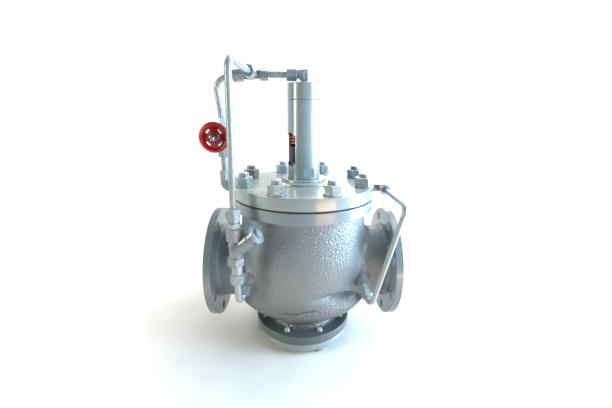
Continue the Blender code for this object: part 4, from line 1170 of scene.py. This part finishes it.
STRAINER_WAY = Vector((0.77, -0.14, 0.62)).normalized()
STRAINER_ROOT = Vector((STRING_X, STRING_Y, 0.0790))


def strainer_field(points):
    foot = (STRING_X, STRING_Y, 0.0)
    barrel = rod_field(points, foot, UP, 0.0120, 0.056, 0.104)
    branch = rod_field(points, STRAINER_ROOT, STRAINER_WAY, 0.0138, 0.0, 0.0470)
    off, along = from_axis(points, STRAINER_ROOT, STRAINER_WAY)
    groove = np.hypot(off - 0.0142, along - 0.0370) - 0.0012
    return np.maximum(melt(barrel, branch, 0.005), -groove)


def make_strainer_string():
    foot = Vector((STRING_X, STRING_Y, 0.0))
    fitting_nut("riser_foot_nut", "riser_nut", foot + UP * 0.1350, UP,
                0.0240, 0.0220, PILOT_R, 14.0)
    nipple = joined(hexagon(foot + UP * 0.1216, UP, 0.0215, 0.0100, 4.0),
                    rod(foot + UP * 0.1306, UP, 0.0085, 0.0041))
    piece("strainer_top_nipple", nipple, "pipe", "upper_nipple", sharp=30.0)
    low = (STRING_X - 0.020, STRING_Y - 0.032, 0.050)
    high = (STRING_X + 0.052, STRING_Y + 0.020, 0.120)
    strainer = joined(lifted_mesh(surface_of(strainer_field, low, high, 0.0010)),
                      hexagon(foot + UP * 0.0985, UP, 0.0290, 0.0228, 9.0),
                      hexagon(foot + UP * 0.0500, UP, 0.0285, 0.0155, 9.0))
    piece("y_strainer", strainer, "fitting", "strainer_body", sharp=32.0)
    lid = rod(STRAINER_ROOT + STRAINER_WAY * 0.0473, STRAINER_WAY, 0.0168, 0.0065, 0.0012, 64)
    head = hexagon(STRAINER_ROOT + STRAINER_WAY * 0.0524, STRAINER_WAY, 0.0160, 0.0071, 15.0,
                   chamfer_low=False)
    piece("strainer_plug", joined(lid, head), "pipe", "strainer_cap", sharp=30.0)
    lower = joined(rod(foot + UP * 0.0310, UP, 0.0095, 0.0080),
                   hexagon(foot + UP * 0.0370, UP, 0.0190, 0.0127, 22.0))
    piece("strainer_low_nipple", lower, "pipe", "lower_nipple", sharp=30.0)
    fitting_nut("supply_top_nut", "supply_nut", foot + UP * 0.0307, -UP,
                0.0235, 0.0190, PILOT_R, 16.0)
    pipe("supply_pipe", "supply_tube", rounded_path([
        foot + UP * 0.0195, SUPPLY_CORNER, SUPPLY_BOSS + SUPPLY_WAY * 0.0140], 0.010), PILOT_R)
    fitting_nut("supply_body_nut", "supply_port_nut", SUPPLY_BOSS + SUPPLY_WAY * GAP, SUPPLY_WAY,
                0.0185, 0.0205, PILOT_R, 10.0)


def make_sensing_line():
    corner = Vector((SENSE_X, 0.0, PORT_Z))
    rim_elbow("outlet_sensing_elbow", "sensing_elbow", RIGHT, corner, FRONT, half_width=0.0079,
              flats=0.0195, nut_low=0.0140, nut_length=0.0160, turn=15.0, bore_low=0.0200)
    pipe("sensing_pipe", "sensing_tube", rounded_path([
        corner + FRONT * 0.0205, corner + FRONT * 0.0350,
        Vector((SENSE_X + 0.0065, SENSE_Y, PORT_Z - 0.0050)), SENSE_CORNER,
        SENSE_BOSS + SENSE_WAY * 0.0180], 0.015), SENSE_R)
    fitting_nut("sensing_body_nut", "sensing_port_nut", SENSE_BOSS + SENSE_WAY * GAP, SENSE_WAY,
                0.0185, 0.0280, SENSE_R, 18.0)


def make_needle_valve():
    foot = Vector((NEEDLE_X, 0.0, 0.0))
    centre = Vector((NEEDLE_X, 0.0, NEEDLE_Z))
    rim_elbow("needle_low_elbow", "needle_outlet_elbow", LEFT, foot + UP * PORT_Z, UP,
              half_width=0.0084, flats=0.0175, nut_low=0.0145, nut_length=0.0200, turn=12.0,
              bore_low=0.0245)
    pipe("needle_low_pipe", "needle_outlet_tube", [foot + UP * 0.1935, foot + UP * 0.2385], SENSE_R)
    valve = joined(rod(foot + UP * 0.2450, UP, 0.0090, 0.0600),
                   rod(centre - UP * 0.0140, UP, 0.0120, 0.0280, 0.0015),
                   rod(centre, FRONT, 0.0090, 0.0260),
                   hexagon(foot + UP * 0.2320, UP, 0.0190, 0.0160, 25.0),
                   hexagon(foot + UP * 0.2970, UP, 0.0190, 0.0130, 5.0))
    valve = cut(valve, tube_bore(foot + UP * 0.2390, -UP), tube_bore(foot + UP * 0.3005, UP),
                rod(centre + FRONT * 0.0020, FRONT, 0.0050, 0.0300, 0.0, 32))
    piece("needle_body", valve, "pipe", "needle_valve_body", sharp=30.0)
    gland = hexagon(centre + FRONT * 0.0263, FRONT, 0.0170, 0.0130, 10.0, 0.0033)
    piece("gland_nut", gland, "pipe", "needle_gland", sharp=30.0)
    tip = turned([(0.0, 0.0115), (0.0006, 0.0115), (0.0029, 0.0040), (0.0029, 0.0), (0.0, 0.0)],
                 32, False, 0.0002)
    tip = stand(tip, centre + FRONT * 0.0170, -FRONT)
    piece("needle_point", tip, "steel", "needle_tip", body="needle")
    spindle = stand(threaded_rod(0.0030, 0.0, 0.0547, 0.0465, 0.0010, 0.0003, 24),
                    centre + FRONT * 0.0173, FRONT)
    piece("wheel_spindle", spindle, "steel", "needle_spindle", body="handwheel", sharp=50.0)


SLOT_OUTER_R = 0.0179
SLOT_INNER_R = 0.0141
SLOT_HALF_ANGLE = math.radians(16.0)


def arc_slot(middle):
    """Cutter for one of the slots round the hub."""
    outline = []
    for radius, spreads in ((SLOT_OUTER_R, range(-8, 9)), (SLOT_INNER_R, range(8, -9, -1))):
        angles = [middle + SLOT_HALF_ANGLE * spread / 8 for spread in spreads]
        outline += [(radius * math.cos(angle), radius * math.sin(angle)) for angle in angles]
    mean_r = (SLOT_OUTER_R + SLOT_INNER_R) / 2
    pole = (mean_r * math.cos(middle), mean_r * math.sin(middle))
    return lofted([[(x, y, height) for x, y in ring]
                   for height, rings in ((0.010, ([pole], outline)), (-0.010, (outline, [pole])))
                   for ring in rings])


def make_handwheel():
    """Dished wheel with a rolled rim, a raised ring round the hub and four arc slots."""
    hub = Vector((NEEDLE_X, WHEEL_Y, NEEDLE_Z))
    wheel = turned([
        (0.0033, 0.0055), (0.0078, 0.0055), (0.0082, 0.0046), (0.0100, 0.0046), (0.0106, 0.0012),
        (0.0205, 0.0000), (0.0218, 0.0036), (0.0240, 0.0048), (0.0275, 0.0024), (WHEEL_R, -0.0010),
        (0.0268, -0.0044), (0.0225, -0.0044), (0.0205, -0.0025), (0.0110, -0.0020), (0.0085, -0.0120),
        (0.0033, -0.0120)], 120, True, 0.0010)
    slots = [stand(arc_slot(math.radians(45.0 + 90.0 * index)), hub, FRONT) for index in range(4)]
    wheel = cut(stand(wheel, hub, FRONT), *slots)
    piece("red_handwheel", wheel, "red", "handwheel", body="handwheel", sharp=40.0)
    disc = turned([(0.0033, 0.0061), (0.0098, 0.0058), (0.0100, 0.0050), (0.0033, 0.0048)],
                  64, True, 0.0003)
    piece("wheel_hub_disc", stand(disc, hub, FRONT), "maroon", "handwheel", body="handwheel")
    nut = hexagon(hub + FRONT * 0.0060, FRONT, 0.0110, 0.0048, 20.0, 0.0030, chamfer_low=False)
    piece("wheel_nut", nut, "steel", "handwheel_nut", body="handwheel", sharp=30.0)


# ---------------------------------------------------------------- floor and light
FLOOR_SOLID_R = 0.75
FLOOR_CLEAR_R = 2.2


def make_floor():
    """Pale floor that melts into the pale surroundings some way off."""
    shader = Shader("pale_floor")
    grain = shader.span(shader.noise(9.0, 5.0, 0.6), 0.3, 0.7, 0.55, 0.59)
    material = shader.finish(grey_of(shader, grain), 0.6, specular=0.25)
    shader.feed(shader.bsdf.inputs["Emission Color"], rgb(1.0, 1.0, 1.0))
    off = shader.add("ShaderNodeVectorMath", operation="LENGTH")
    shader.feed(off.inputs[0], shader.place)
    off = off.outputs["Value"]
    # The floor glows, the glow fading out towards the valve: a painted shadow round its base.
    shader.feed(shader.bsdf.inputs["Emission Strength"], shader.span(off, 0.20, 0.80, 0.0, 0.60))
    shader.feed(shader.bsdf.inputs["Alpha"], shader.span(off, FLOOR_SOLID_R, FLOOR_CLEAR_R, 1.0, 0.0))
    mesh = turned([(0.0, 0.0), (FLOOR_SOLID_R, 0.0), (FLOOR_CLEAR_R, 0.0), (FLOOR_CLEAR_R, -0.001),
                   (0.0, -0.001)], 96, False, 0.0)
    mesh.materials.append(material)
    floor = placed(mesh, "floor")


LIGHTS = (      # name, place, target, size, watts, colour
    ("key_right", (1.10, -0.46, 0.72), (0.02, 0.0, 0.27), (0.6, 0.8), 25.0, (0.58, 0.82, 1.0)),
    ("window_right", (1.20, -0.12, 0.20), (0.0, 0.0, 0.20), (0.5, 0.7), 50.0, (0.66, 0.86, 1.0)),
    ("window_left", (-1.5, -0.7, 0.8), (0.0, 0.0, 0.30), (0.5, 1.2), 30.0, (1.0, 0.98, 0.84)),
    ("window_back", (0.30, 1.50, 0.85), (0.0, 0.0, 0.35), (0.7, 0.5), 7.0, (1.0, 1.0, 0.97)),
    ("overhead", (0.30, 0.35, 1.6), (0.0, 0.0, 0.2), (1.2, 1.0), 17.0, (1.0, 1.0, 0.97)),
    ("warm_bounce", (0.50, -0.80, 0.05), (0.17, -0.05, 0.18), (0.5, 0.15), 3.0, (1.0, 0.52, 0.25)),
    ("floor_glow", (0.0, -0.30, 0.004), (0.0, -0.20, 0.4), (0.9, 0.22), 1.1, (1.0, 0.34, 0.08)),
)


def make_world():
    """A pale studio: white behind and to the right, duller in front of the object."""
    world = bpy.data.worlds.new("studio")
    bpy.context.scene.world = world
    world.use_nodes = True
    tree = world.node_tree
    background = tree.nodes["Background"]
    place = tree.nodes.new("ShaderNodeTexCoord")
    split = tree.nodes.new("ShaderNodeSeparateXYZ")
    tree.links.new(place.outputs["Generated"], split.inputs[0])
    total = tree.nodes.new("ShaderNodeMath")
    total.operation = "ADD"
    ramps = (("Y", -0.10, 0.60, 0.06, 1.03), ("X", 0.55, 0.95, 0.0, 2.2))
    for socket, (axis, *numbers) in zip(total.inputs, ramps):
        node = tree.nodes.new("ShaderNodeMapRange")
        node.interpolation_type = "SMOOTHSTEP"
        for key, value in zip(("From Min", "From Max", "To Min", "To Max"), numbers):
            node.inputs[key].default_value = value
        tree.links.new(split.outputs[axis], node.inputs["Value"])
        tree.links.new(node.outputs["Result"], socket)
    tree.links.new(total.outputs["Value"], background.inputs["Strength"])
    background.inputs["Color"].default_value = (0.985, 0.995, 1.0, 1.0)


def make_light(name, place, target, size, power, colour):
    data = bpy.data.lights.new(name, "AREA")
    data.shape = "RECTANGLE"
    data.size, data.size_y = size
    data.energy = power
    data.color = colour
    lamp = bpy.data.objects.new(name, data)
    bpy.context.scene.collection.objects.link(lamp)
    lamp.location = place
    lamp.rotation_mode = "QUATERNION"
    lamp.rotation_quaternion = (Vector(target) - Vector(place)).to_track_quat("-Z", "Y")
    lamp.visible_camera = False


make_camera()
make_floor()
make_world()
for lamp in LIGHTS:
    make_light(*lamp)
make_body()
make_covers()
make_diaphragm()
make_column()
make_spring()
make_trim()
make_fasteners()
make_top_run()
make_strainer_string()
make_sensing_line()
make_needle_valve()
make_handwheel()

bpy.context.scene.view_settings.view_transform = "Standard"
